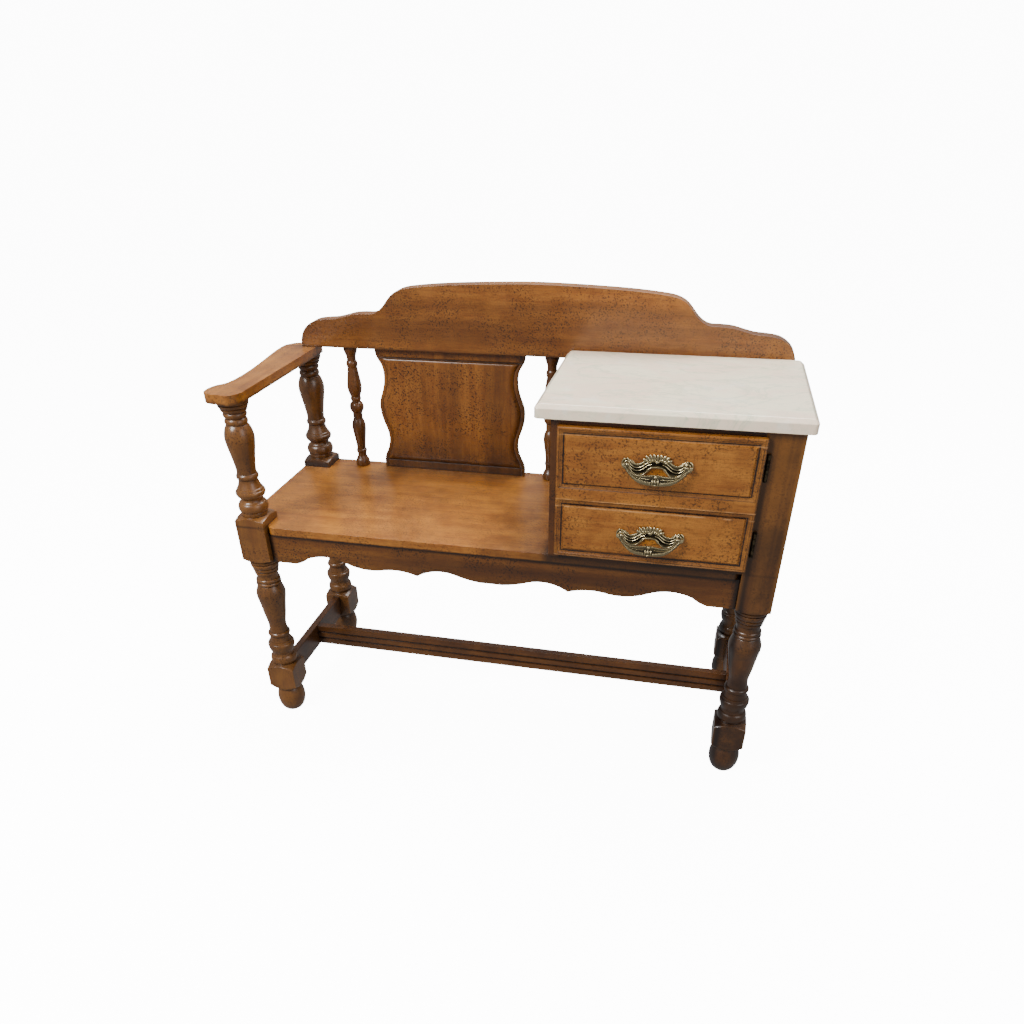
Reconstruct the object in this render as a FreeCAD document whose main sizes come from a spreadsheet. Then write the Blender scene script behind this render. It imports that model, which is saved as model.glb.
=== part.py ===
"""Telephone bench: a maple seat with a carved back and one arm, joined to a marble-topped cabinet.

All sizes are in millimetres. X runs along the bench, the arm at its low end, Y from front to back
and Z up. The origin is on the floor, under the middle of the whole bench.
"""
import FreeCAD, Part
import os
import re
import Sketcher
from FreeCAD import Placement, Rotation, Vector

doc = FreeCAD.newDocument("TelephoneBench")

SIZES = {
    # frame: legs of one square section, turned between their blocks
    "leg_spacing": 900.0,
    "leg_depth": 302.0,
    "leg_section": 57.0,
    "front_y": -162.6,
    "foot_height": 64.0,
    "lower_block": 57.0,
    "upper_block_drop": 72.0,
    "block_rise": 15.0,
    "pommel": 9.0,
    "bun_radius": 28.4,
    "foot_radius": 21.0,
    "torus_radius": 26.2,
    "bell_radius": 26.4,
    "ring_radius": 20.6,
    "neck_radius": 17.5,
    "vase_radius": 28.0,
    "collar_radius": 27.0,
    "cup_radius": 26.7,
    "arm_vase_radius": 25.9,
    # mortise and tenon joints
    "tenon_length": 16.0,
    "tenon_thickness": 8.0,
    "tenon_shoulder": 7.0,
    "dowel_radius": 9.5,
    "dowel_length": 10.0,
    "crest_dowel_offset": 20.0,
    "crest_dowel_radius": 5.0,
    "crest_dowel_depth": 12.0,
    "joint_gap": 0.15,
    # stretchers
    "stretcher_low": 67.0,
    "stretcher_height": 49.0,
    "stretcher_thickness": 15.5,
    "center_low": 71.0,
    "center_height": 44.0,
    "center_thickness": 16.0,
    "reed_width": 4.0,
    "reed_depth": 2.5,
    # aprons and the blocks in their corners
    "apron_setback": 12.0,
    "apron_thickness": 18.0,
    "apron_height": 57.0,
    "corner_block_leg": 72.0,
    "corner_block_height": 22.0,
    # seat
    "seat_height": 434.0,
    "seat_thickness": 16.0,
    "seat_front_setback": 6.0,
    "seat_back_setback": 2.0,
    "seat_nosing": 5.0,
    "housing_depth": 4.0,
    # arm
    "arm_height": 676.5,
    "arm_thickness": 16.5,
    "arm_inner": 30.0,
    # back
    "crest_shoulder": 51.0,
    "crest_hump": 63.5,
    "crest_cove": 85.5,
    "crest_step": 109.5,
    "crest_top": 123.5,
    "crest_thickness": 28.0,
    "crest_end_setback": 2.5,
    "back_offset": 6.0,
    "splat_offset": 3.0,
    "splat_wide": 150.5,
    "splat_waist": 136.0,
    "splat_lip": 17.0,
    "splat_thickness": 8.0,
    "field_rise": 4.0,
    "field_bevel": 14.0,
    "tongue": 6.0,
    "spindle_spread": 202.0,
    "spindle_vase": 14.4,
    "spindle_ball": 14.2,
    "spindle_ring": 10.9,
    "spindle_neck": 9.3,
    "spindle_pin": 5.5,
    "spindle_pin_length": 9.0,
    # cabinet
    "cabinet_width": 318.0,
    "side_thickness": 18.0,
    "rail_height": 16.5,
    "rail_thickness": 18.0,
    "base_rail": 15.5,
    "back_panel": 6.0,
    "back_panel_setback": 13.0,
    "right_panel": 12.0,
    "panel_groove": 6.0,
    "stub": 8.0,
    "stub_shoulder": 3.0,
    "back_rail_height": 30.0,
    # marble
    "marble_rise": 16.5,
    "marble_thickness": 21.5,
    "marble_side_overhang": 25.1,
    "marble_end_overhang": 11.5,
    "marble_overhang": 12.7,
    "marble_back_gap": 2.0,
    "marble_corner": 12.0,
    "marble_front_corner": 8.0,
    "marble_bevel_in": 7.0,
    "marble_bevel_down": 6.0,
    # door
    "door_lap": 6.5,
    "door_hinge_lap": 4.0,
    "door_low_reveal": 9.0,
    "door_high_reveal": 10.0,
    "door_proud": 12.0,
    "door_thickness": 18.0,
    "door_lip_gap": 1.8,
    "door_play": 1.5,
    "border": 3.0,
    "bevel": 10.0,
    "bevel_depth": 4.0,
    "strip_height": 18.0,
    "strip_share": 0.504,
    # hinges
    "hinge_height": 42.0,
    "hinge_inset": 46.5,
    "knuckle_radius": 3.0,
    "knuckle_gap": 0.3,
    "hinge_clear": 0.4,
    "hinge_plate": 1.0,
    "hinge_leaf": 24.0,
    "pin_radius": 1.25,
    "pin_play": 0.05,
    "hinge_offset": 4.5,
    "leaf_gap": 0.5,
    # pulls
    "pull_post_spread": 88.0,
    "pull_plate": 2.5,
    "pull_standoff": 7.0,
    "pull_drop": 29.5,
    "pull_tilt": 25.0,
    "pull_reach": 55.5,
    "pull_crown": 17.0,
    "bail_thickness": 5.0,
    "bail_arm": 4.3,
    "bail_eye": 3.4,
    "bail_eye_length": 4.3,
    "bail_pin": 1.6,
    "post_radius": 3.8,
    "post_stem": 2.0,
    "stem_play": 0.2,
    "side_play": 0.4,
    "nut_radius": 4.5,
    "nut_height": 3.5,
    # catch
    "catch_length": 40.0,
    "catch_depth": 22.0,
    "catch_width": 11.0,
    "catch_drop": 61.5,
    "strike_thickness": 1.2,
    "catch_gap": 0.4,
}

# Faces and places that follow from the sizes
PLACES = {
    # legs
    "half_leg": "leg_section / 2",
    "leg_in": "(leg_spacing - leg_section) / 2",
    "leg_out": "(leg_spacing + leg_section) / 2",
    "front_axis": "front_y + half_leg",
    "back_axis": "front_axis + leg_depth",
    "leg_back": "back_axis + half_leg",
    "end_front": "front_y + leg_section",
    "end_back": "front_y + leg_depth",
    "seat_low": "seat_height - seat_thickness",
    "lower_block_top": "foot_height + lower_block",
    "upper_block_low": "seat_height - upper_block_drop",
    "left_block_top": "seat_height + block_rise",
    "half_tenon": "tenon_thickness / 2",
    # aprons and seat
    "apron_low": "seat_low - apron_height",
    "front_out": "front_y + apron_setback",
    "front_in": "front_out + apron_thickness",
    "back_out": "leg_back - apron_setback",
    "back_in": "back_out - apron_thickness",
    "side_out": "leg_out - apron_setback",
    "side_in": "side_out - apron_thickness",
    "seat_front": "front_y + seat_front_setback",
    "seat_back": "leg_back - seat_back_setback",
    # arm, crest rail, splat and spindles
    "arm_low": "arm_height - arm_thickness",
    "crest_low": "arm_height",
    "crest_left": "-leg_spacing / 2",
    "crest_right": "leg_out - crest_end_setback",
    "crest_half": "(crest_right - crest_left) / 2",
    "crest_middle": "(crest_right + crest_left) / 2",
    "crest_front": "back_axis - crest_thickness / 2",
    "crest_dowel_x": "crest_left + crest_dowel_offset",
    "back_y": "back_axis + back_offset",
    "side_x": "leg_in - cabinet_width",
    "splat_x": "(side_x - leg_in) / 2 + splat_offset",
    # cabinet and marble
    "side_face": "side_x + side_thickness",
    "panel_back": "leg_back - back_panel_setback",
    "panel_front": "panel_back - back_panel",
    "marble_low": "arm_height + marble_rise - marble_thickness",
    "marble_left": "side_x - marble_side_overhang",
    "marble_right": "leg_out + marble_end_overhang",
    "marble_front": "front_y - marble_overhang",
    "marble_back": "crest_front - marble_back_gap",
    # door
    "door_left": "side_face - door_lap",
    "door_right": "leg_in + door_hinge_lap",
    "door_low": "seat_height + door_low_reveal",
    "door_high": "marble_low - door_high_reveal",
    "door_face": "front_y - door_proud",
    "door_border": "door_face + bevel_depth",
    "lip_back": "front_y - door_lip_gap",
    "door_back": "door_face + door_thickness",
    "core_right": "leg_in - 2 * hinge_plate - leaf_gap",
    "strip_low": "door_low + (door_high - door_low - strip_height) * strip_share",
    "strip_top": "strip_low + strip_height",
    # hardware
    "hinge_x": "door_right + hinge_offset",
    "hinge_y": "front_y - hinge_clear - knuckle_radius",
    "hinge_upper": "door_high - hinge_inset",
    "hinge_lower": "door_low + hinge_inset",
    "pivot_y": "door_face - pull_standoff",
    "pull_x": "(door_left + door_right) / 2",
    "pull_upper": "(strip_top + door_high) / 2",
    "pull_lower": "(door_low + strip_low) / 2",
    "catch_z": "door_high - catch_drop",
}

sheet = doc.addObject("Spreadsheet::Sheet", "Sizes")
cells = [(name, str(value)) for name, value in SIZES.items()]
cells += [(name, "=" + formula) for name, formula in PLACES.items()]
for row, (name, content) in enumerate(cells, start=1):
    sheet.set(f"A{row}", name)
    sheet.set(f"B{row}", content)
    sheet.setAlias(f"B{row}", name)
doc.recompute()
NAMES = set(SIZES) | set(PLACES)


def bound(formula):
    """Write a formula on size names as an expression on the cells of the sheet."""
    return re.sub(r"[a-z][a-z_]*", lambda word: "Sizes." + word[0] if word[0] in NAMES else word[0], formula)


def number(formula):
    """Work out a formula on size names."""
    return float(sheet.evalExpression(bound(formula)))


def mirrored(sign, low, high):
    """Give a span on the plus side as it is, or turned over on the minus side."""
    if sign > 0:
        return low, high
    return f"-({high})", f"-({low})"


def new_body(label, x="0", y="0", z="0"):
    """Start a sub-part, placed by formulas."""
    body = doc.addObject("PartDesign::Body", label)
    body.Label = label
    for axis, formula in zip("xyz", (x, y, z)):
        body.setExpression("Placement.Base." + axis, bound(formula))
    return body


def box(body, name, x, y, z, cut=False):
    """Add or cut a block; each span is a pair of formulas, low and high."""
    kind = "PartDesign::SubtractiveBox" if cut else "PartDesign::AdditiveBox"
    feature = body.newObject(kind, name)
    for axis, side, (low, high) in zip("xyz", ("Length", "Width", "Height"), (x, y, z)):
        feature.setExpression("Placement.Base." + axis, bound(low))
        feature.setExpression(side, bound(f"({high}) - ({low})"))
    return feature


TURNS = {
    "+x": Rotation(Vector(0, 1, 0), 90),
    "-x": Rotation(Vector(0, 1, 0), -90),
    "+y": Rotation(Vector(1, 0, 0), -90),
    "-y": Rotation(Vector(1, 0, 0), 90),
    "+z": Rotation(),
    "-z": Rotation(Vector(1, 0, 0), 180),
}


def rod(body, name, start, toward, radius, length, cut=False):
    """Add or bore a cylinder from a start point along one axis."""
    kind = "PartDesign::SubtractiveCylinder" if cut else "PartDesign::AdditiveCylinder"
    feature = body.newObject(kind, name)
    feature.Placement = Placement(Vector(), TURNS[toward])
    for axis, formula in zip("xyz", start):
        feature.setExpression("Placement.Base." + axis, bound(formula))
    feature.setExpression("Radius", bound(radius))
    feature.setExpression("Height", bound(length))
    return feature


def new_sketch(body, name, role, offset="0"):
    """Start a sketch on one of the body's own planes, moved along the plane's normal."""
    sketch = body.newObject("Sketcher::SketchObject", name)
    plane = next(item for item in body.Origin.OriginFeatures if item.Role == role)
    sketch.AttachmentSupport = [(plane, "")]
    sketch.MapMode = "FlatFace"
    sketch.setExpression("AttachmentOffset.Base.z", bound(offset))
    return sketch


def draw(sketch, start, steps, close=True):
    """Draw a chain of lines and arcs.

    A step is a point, reached by a straight line, or a point and a rise, reached by an arc that
    bulges by the rise to the right of the way drawn.
    """
    here = Vector(*start, 0)
    ends = []
    for step in list(steps) + ([start] if close else []):
        there = Vector(step[0], step[1], 0)
        if (there - here).Length < 1e-6:
            continue
        if len(step) == 3:
            chord = there - here
            normal = Vector(chord.y, -chord.x, 0).normalize()
            curve = Part.Arc(here, (here + there) / 2 + normal * step[2], there)
        else:
            curve = Part.LineSegment(here, there)
        index = sketch.addGeometry(curve, False)
        first = 1 if (sketch.getPoint(index, 1) - here).Length < 1e-4 else 2
        ends.append((index, first, 3 - first))
        here = there
    pairs = list(zip(ends, ends[1:])) + ([(ends[-1], ends[0])] if close else [])
    for before, after in pairs:
        sketch.addConstraint(Sketcher.Constraint("Coincident", before[0], before[2], after[0], after[1]))
    return sketch


def pad(body, name, sketch, length, reverse=False, cut=False, taper=None):
    """Pad or pocket a sketch by a formula's length."""
    feature = body.newObject("PartDesign::Pocket" if cut else "PartDesign::Pad", name)
    feature.Profile = sketch
    feature.setExpression("Length", bound(length))
    feature.Reversed = reverse
    if taper:
        feature.setExpression("TaperAngle", bound(taper))
    sketch.Visibility = False
    return feature


def mirror(body, name, features, role):
    """Repeat features on the other side of one of the body's own planes."""
    feature = body.newObject("PartDesign::Mirrored", name)
    feature.Originals = features
    feature.MirrorPlane = (next(item for item in body.Origin.OriginFeatures if item.Role == role), [""])
    body.Tip = feature
    return feature


def revolve(body, name, sketch, cut=False):
    """Turn a sketch about its own upright axis."""
    feature = body.newObject("PartDesign::Groove" if cut else "PartDesign::Revolution", name)
    feature.Profile = sketch
    feature.ReferenceAxis = (sketch, ["V_Axis"])
    feature.Angle = 360.0
    return feature


def dress(body, name, kind, wanted, **settings):
    """Fillet or chamfer the edges of the tip that a test picks."""
    doc.recompute()
    base = body.Tip
    edges = [f"Edge{i}" for i, edge in enumerate(base.Shape.Edges, start=1) if wanted(edge)]
    feature = body.newObject("PartDesign::" + kind, name)
    feature.Base = (base, edges)
    for key, value in settings.items():
        if isinstance(value, str) and key != "ChamferType":
            feature.setExpression(key, bound(value))
        else:
            setattr(feature, key, value)
    return feature


def on_plane(edge, axis, value):
    """Say whether an edge lies wholly at one height along an axis."""
    low, high = getattr(edge.BoundBox, axis + "Min"), getattr(edge.BoundBox, axis + "Max")
    return abs(low - value) < 0.01 and abs(high - value) < 0.01


# Legs: square stock turned round between its blocks, with rounded pommels where a block begins
CORNER = 1.45

# Each step: share of the turned length, and the radius there
LOWER_TURNING = [
    (0.010, "torus_radius - 2.8"),
    (0.045, "torus_radius"),
    (0.100, "torus_radius - 5.4"),
    (0.187, "bell_radius"),
    (0.270, "ring_radius - 2.0"),
    (0.300, "ring_radius"),
    (0.335, "neck_radius"),
    (0.410, "neck_radius"),
    (0.580, "vase_radius - 3.6"),
    (0.672, "vase_radius"),
    (0.764, "vase_radius - 6.5"),
    (0.793, "ring_radius + 2.6"),
    (0.830, "ring_radius + 0.2"),
    (0.917, "collar_radius"),
    (0.985, "collar_radius"),
]
UPPER_TURNING = [
    (0.019, "torus_radius - 2.0"),
    (0.080, "torus_radius + 0.6"),
    (0.156, "neck_radius + 2.0"),
    (0.213, "bell_radius"),
    (0.320, "neck_radius"),
    (0.355, "ring_radius - 0.8"),
    (0.390, "neck_radius"),
    (0.580, "arm_vase_radius - 3.4"),
    (0.678, "arm_vase_radius"),
    (0.740, "arm_vase_radius - 1.6"),
    (0.801, "neck_radius + 1.0"),
    (0.828, "ring_radius - 0.7"),
    (0.860, "neck_radius - 0.6"),
    (0.930, "neck_radius + 4.0"),
    (0.971, "cup_radius"),
    (1.000, "cup_radius"),
]


def profile(low, high, steps):
    """Place shares of a turned length between two heights, as points of radius and height."""
    return [(number(radius), low + share * (high - low)) for share, radius in steps]


def turn_between(body, name, low, high, steps, shoulder_low=True, shoulder_high=True, top_radius=None):
    """Cut the stock round between two heights, leaving the outline of the steps."""
    outer = number("half_leg") * CORNER
    points = profile(low, high, steps)
    first, last = points[0], points[-1]
    reach = number("pommel")
    chain = []
    if shoulder_low:
        start = (outer, low - reach)
        chain.append(first)
    else:
        start = (outer, low - 1.0)
        chain += [(first[0], low - 1.0), (first[0], first[1])]
    chain += points[1:]
    if shoulder_high:
        chain.append((outer, high + reach))
    else:
        chain += [(last[0], high), (top_radius, high), (top_radius, high + 60.0), (outer, high + 60.0)]
    sketch = draw(new_sketch(body, name + "Outline", "XZ_Plane"), start, chain)
    return revolve(body, name, sketch, cut=True)


def leg(label, side, end, top):
    """Make one leg; side is -1 at the arm, end is -1 at the front, top is the height of its stock."""
    body = new_body(label, f"{side} * leg_spacing / 2", "front_y + leg_section / 2" if end < 0 else "back_axis")
    box(body, "Stock", ("-half_leg", "half_leg"), ("-half_leg", "half_leg"), ("0", top))
    low, high = 0.0, number("foot_height")
    foot = [(0.0, "foot_radius"), (0.28, "bun_radius - 1.4"), (0.52, "bun_radius"), (0.86, "foot_radius + 3.4")]
    turn_between(body, "Foot", low, high, foot, shoulder_low=False)
    turn_between(body, "LowerTurning", number("lower_block_top"), number("upper_block_low"), LOWER_TURNING)
    if side < 0:
        turn_between(body, "UpperTurning", number("left_block_top"), number("arm_low"), UPPER_TURNING,
                     shoulder_high=False, top_radius=number("dowel_radius"))
    in_x, in_y = -side, -end
    face = ("half_leg - tenon_length - joint_gap", "half_leg")
    # the apron along the bench
    middle = f"{end} * (leg_section / 2 - apron_setback - apron_thickness / 2)"
    half = "(tenon_thickness / 2 + joint_gap)"
    apron_z = ("apron_low + tenon_shoulder - joint_gap", "seat_low - tenon_shoulder + joint_gap")
    box(body, "LongApronMortise", mirrored(in_x, *face), (f"{middle} - {half}", f"{middle} + {half}"),
        apron_z, cut=True)
    # the apron across the end
    middle = f"{side} * (leg_section / 2 - apron_setback - apron_thickness / 2)"
    box(body, "EndApronMortise", (f"{middle} - {half}", f"{middle} + {half}"), mirrored(in_y, *face),
        apron_z, cut=True)
    box(body, "StretcherMortise", (f"-{half}", half), mirrored(in_y, *face),
        ("stretcher_low + tenon_shoulder - joint_gap",
         "stretcher_low + stretcher_height - tenon_shoulder + joint_gap"), cut=True)
    return body


ARM_DOWEL_TOP = "arm_low + dowel_length"
leg("front_left_leg", -1, -1, ARM_DOWEL_TOP)
leg("back_left_leg", -1, 1, ARM_DOWEL_TOP)

GROOVE_LOW = "half_leg - panel_groove - joint_gap"
PANEL_HALF = "(right_panel / 2 + joint_gap)"

front_right = leg("front_right_leg", 1, -1, "marble_low")
box(front_right, "PanelGroove", (f"-{PANEL_HALF}", PANEL_HALF), (GROOVE_LOW, "half_leg"),
    ("seat_height", "marble_low + 1"), cut=True)
back_right = leg("back_right_leg", 1, 1, "crest_low")
box(back_right, "PanelGroove", (f"-{PANEL_HALF}", PANEL_HALF), ("-(half_leg)", f"-({GROOVE_LOW})"),
    ("seat_height", "crest_low + 1"), cut=True)
# the marble runs over the front of the back post
box(back_right, "MarbleRebate", ("-half_leg - 1", "half_leg + 1"),
    ("-half_leg - 1", "(leg_section - crest_thickness) / 2 - leg_section / 2"),
    ("marble_low", "crest_low + 1"), cut=True)
rod(back_right, "CrestDowel", ("0", "0", "crest_low - 1"), "+z", "dowel_radius", "dowel_length + 1")

# Stretchers: one between the lower blocks at each end, and a reeded one joining them
for side, label in ((-1, "left_side_stretcher"), (1, "right_side_stretcher")):
    stretcher = new_body(label, f"{side} * leg_spacing / 2")
    box(stretcher, "Board", ("-stretcher_thickness / 2", "stretcher_thickness / 2"), ("end_front", "end_back"),
        ("stretcher_low", "stretcher_low + stretcher_height"))
    box(stretcher, "Tenons", ("-half_tenon", "half_tenon"),
        ("end_front - tenon_length", "end_back + tenon_length"),
        ("stretcher_low + tenon_shoulder", "stretcher_low + stretcher_height - tenon_shoulder"))
    middle = "front_y + (leg_section + leg_depth) / 2"
    box(stretcher, "CenterMortise", ("-stretcher_thickness", "stretcher_thickness"),
        (f"{middle} - half_tenon - joint_gap", f"{middle} + half_tenon + joint_gap"),
        ("center_low + tenon_shoulder - joint_gap", "center_low + center_height - tenon_shoulder + joint_gap"),
        cut=True)

center = new_body("center_stretcher", y="front_y + (leg_section + leg_depth) / 2", z="center_low")
reach = "(leg_spacing - stretcher_thickness) / 2"
box(center, "Board", (f"-({reach})", reach), ("-center_thickness / 2", "center_thickness / 2"),
    ("0", "center_height"))
box(center, "Tenons", (f"-({reach}) - stretcher_thickness", f"{reach} + stretcher_thickness"),
    ("-half_tenon", "half_tenon"), ("tenon_shoulder", "center_height - tenon_shoulder"))
for index in (1, 2):
    low = f"center_height * {index} / 3 - reed_width / 2"
    box(center, f"Reed{index}", (f"-({reach}) - 1", f"{reach} + 1"),
        ("-center_thickness / 2 - 1", "-center_thickness / 2 + reed_depth"), (low, f"{low} + reed_width"), cut=True)


# Aprons: boards tenoned into the upper blocks; the front one is scalloped along its lower edge
def apron(label, axis, low, high, inner, outer):
    """Make an apron between two shoulders; inner and outer are its two faces."""
    body = new_body(label)
    core = f"({inner} + ({outer})) / 2"
    spans = [
        ("Board", (low, high), (outer, inner), ("apron_low", "seat_low")),
        ("Tenons", (f"{low} - tenon_length", f"{high} + tenon_length"),
         (f"{core} - half_tenon", f"{core} + half_tenon"),
         ("apron_low + tenon_shoulder", "seat_low - tenon_shoulder")),
    ]
    for name, along, across, upright in spans:
        x, y = (along, across) if axis == "x" else (across, along)
        box(body, name, x, y, upright)
    return body


front_apron = apron("front_apron", "x", "-leg_in", "leg_in", "front_in", "front_out")
apron("back_apron", "x", "-leg_in", "leg_in", "back_out", "back_in")
apron("right_apron", "y", "end_front", "end_back", "side_out", "side_in")
apron("left_apron", "y", "end_front", "end_back", "-(side_in)", "-(side_out)")


# Scallops of one half: share of the half length, height over the apron's low edge, rise of the arc
SCALLOPS = [(0.830, 13.0, -1.5), (0.652, 12.0, 7.7), (0.474, 5.5, -6.3), (0.327, 0.0, 4.0), (0.147, 8.5, 9.3),
            (0.0, -1.0, -2.4)]
SCALLOP_START = 0.890
half, low = number("leg_in"), number("apron_low")
chain = [(share * half, low + up, rise) for share, up, rise in SCALLOPS]
chain += [(0.0, low - 30.0), (SCALLOP_START * half, low - 30.0)]
sketch = new_sketch(front_apron, "ScallopOutline", "XZ_Plane", "-(front_in) - 1")
draw(sketch, (SCALLOP_START * half, low), chain)
scallop = pad(front_apron, "Scallops", sketch, "apron_thickness + 2", cut=True, reverse=True)
mirror(front_apron, "OtherScallops", [scallop], "YZ_Plane")


# Corner blocks: glued behind the aprons round each leg and screwed up into the seat
for side, across in ((-1, "left"), (1, "right")):
    for end, along in ((-1, "front"), (1, "back")):
        block = new_body(f"{along}_{across}_corner_block", f"{side} * (side_in)",
                         "front_in" if end < 0 else "back_in", "seat_low - corner_block_height")
        leg_wall = number("leg_section - apron_setback - apron_thickness + joint_gap")
        far = number("corner_block_leg")
        dx, dy = -side, -end
        points = [(leg_wall, 0.0), (far, 0.0), (0.0, far), (0.0, leg_wall), (leg_wall, leg_wall)]
        points = [(dx * x, dy * y) for x, y in points]
        sketch = draw(new_sketch(block, "Outline", "XY_Plane"), points[0], points[1:])
        pad(block, "Block", sketch, "corner_block_height")

# Seat: one board notched round the legs, with a rounded front edge
seat = new_body("seat_board")
box(seat, "Board", ("-(leg_out)", "leg_out"), ("seat_front", "seat_back"), ("seat_low", "seat_height"))
for side in (-1, 1):
    for end, span in ((-1, ("seat_front - 1", "end_front + joint_gap")),
                      (1, ("end_back - joint_gap", "seat_back + 1"))):
        box(seat, "Notch", mirrored(side, "leg_in - joint_gap", "leg_out + 1"), span,
            ("seat_low - 1", "seat_height + 1"), cut=True)
dress(seat, "Nosing", "Fillet",
      lambda edge: on_plane(edge, "Y", number("seat_front")) and edge.BoundBox.ZLength < 0.01, Radius="seat_nosing")

# Arm: a shaped board on the two left legs, wide at the hand and drawn in behind it
arm = new_body("arm_rest", "-leg_spacing / 2", "front_y", "arm_low")
inner = number("arm_inner")
back = number("leg_depth + leg_section / 2 + crest_thickness / 2")
chain = [
    (inner, 8.0),
    (14.0, -6.3, -3.4),
    (-24.0, -6.5, -1.6),
    (-39.95, 16.0, -5.4),
    (-33.0, 46.0, -1.8),
    (-21.5, 86.0, 1.4),
    (-24.0, 165.0, 1.8),
    (-38.0, 280.0, 0.6),
    (-34.0, 322.0, -2.2),
    (-17.0, back, -1.0),
]
sketch = draw(new_sketch(arm, "Outline", "XY_Plane"), (inner, back), chain)
pad(arm, "Board", sketch, "arm_thickness")
for name, y in (("FrontSocket", "half_leg"), ("BackSocket", "half_leg + leg_depth")):
    rod(arm, name, ("0", y, "-1"), "+z", "dowel_radius + joint_gap", "dowel_length + joint_gap + 1", cut=True)
rod(arm, "CrestSocket",
    ("crest_dowel_x + leg_spacing / 2", "half_leg + leg_depth", "arm_thickness - crest_dowel_depth"), "+z",
    "crest_dowel_radius + joint_gap", "crest_dowel_depth + 1", cut=True)

# Crest rail: cut to one outline that is the same on both halves, with its top edges eased
crest = new_body("crest_rail", "crest_middle", "back_axis + crest_thickness / 2")
half = number("crest_half")
low = number("crest_low")
shoulder, hump = low + number("crest_shoulder"), low + number("crest_hump")
cove, step, top = low + number("crest_cove"), low + number("crest_step"), low + number("crest_top")
steps = [
    (half, low + 9.5, 0.0),
    (half - 53.0, shoulder, 12.8),
    (half - 91.0, shoulder + 6.3, -1.5),
    (half - 133.0, hump, 2.4),
    (half - 181.0, cove, -7.5),
    (half - 218.0, step, 5.0),
    (0.0, top, 3.6),
]
rises = [rise for _, _, rise in steps]
left_half = [(-x, z, rise) for (x, z, _), rise in zip(reversed(steps[:-1]), reversed(rises))]
sketch = new_sketch(crest, "Outline", "XZ_Plane")
draw(sketch, (-half, low), [(half, low), steps[0][:2], *steps[1:], *left_half])
pad(crest, "Rail", sketch, "crest_thickness")
SPLAT_TONGUE = "(splat_waist + joint_gap)"
crest_offset = "back_y - (back_axis + crest_thickness / 2)"
box(crest, "SplatGroove", (f"splat_x - crest_middle - {SPLAT_TONGUE}", f"splat_x - crest_middle + {SPLAT_TONGUE}"),
    (f"{crest_offset} - splat_thickness / 2 - joint_gap", f"{crest_offset} + splat_thickness / 2 + joint_gap"),
    ("crest_low - 1", "crest_low + tongue + joint_gap"), cut=True)
for sign in (-1, 1):
    rod(crest, "SpindleHole",
        (f"splat_x + {sign} * spindle_spread - crest_middle", crest_offset, "crest_low - 1"), "+z",
        "spindle_pin + joint_gap", "spindle_pin_length + joint_gap + 1", cut=True)
rod(crest, "PostHole", ("leg_spacing / 2 - crest_middle", "-crest_thickness / 2", "crest_low - 1"), "+z",
    "dowel_radius + joint_gap", "dowel_length + joint_gap + 1", cut=True)
rod(crest, "ArmHole", ("crest_dowel_x - crest_middle", "-crest_thickness / 2", "crest_low - 1"), "+z",
    "crest_dowel_radius + joint_gap", "crest_dowel_depth + joint_gap + 1", cut=True)

crest_dowel = new_body("crest_dowel", "crest_dowel_x", "back_axis", "arm_height - crest_dowel_depth + joint_gap")
rod(crest_dowel, "Dowel", ("0", "0", "0"), "+z", "crest_dowel_radius",
    "2 * crest_dowel_depth - joint_gap")

# Splat: a thin board with waisted sides, its raised field between two plain lips
splat = new_body("back_splat", "splat_x", "back_y")
wide, waist, lip = number("splat_wide"), number("splat_waist"), number("splat_lip")
low, high = number("seat_height"), number("crest_low")


def splat_side(inset):
    """Give the waved right side from the lower lip to the upper, moved in by an inset."""
    bottom, rise, middle = low + lip, high - low - 2 * lip, (wide + waist) / 2
    swing = (wide - waist) / 2
    turns = [(0.09, 1.0), (0.37, -swing), (0.65, swing), (0.91, -swing)]
    curve = [(middle - inset, bottom + rise * share, bulge) for share, bulge in turns]
    return curve + [(wide - inset, bottom + rise, 1.0)]


chain = [(wide, low), (wide, low + lip), *splat_side(0.0), (wide, high), (0.0, high)]
sketch = draw(new_sketch(splat, "HalfOutline", "XZ_Plane", "-splat_thickness / 2"), (0.0, low), chain)
half_board = pad(splat, "HalfBoard", sketch, "splat_thickness")
bevel = number("field_bevel")
chain = [(wide - bevel, low + lip), *splat_side(bevel), (0.0, high - lip)]
sketch = draw(new_sketch(splat, "HalfField", "XZ_Plane", "splat_thickness / 2"), (0.0, low + lip), chain)
half_field = pad(splat, "Field", sketch, "field_rise")
mirror(splat, "OtherHalf", [half_board, half_field], "YZ_Plane")
box(splat, "Tongues", ("-splat_waist", "splat_waist"), ("-splat_thickness / 2", "splat_thickness / 2"),
    ("seat_height - tongue", "crest_low + tongue"))

box(seat, "SplatGroove", (f"splat_x - {SPLAT_TONGUE}", f"splat_x + {SPLAT_TONGUE}"),
    ("back_y - splat_thickness / 2 - joint_gap", "back_y + splat_thickness / 2 + joint_gap"),
    ("seat_height - tongue - joint_gap", "seat_height + 1"), cut=True)

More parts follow.
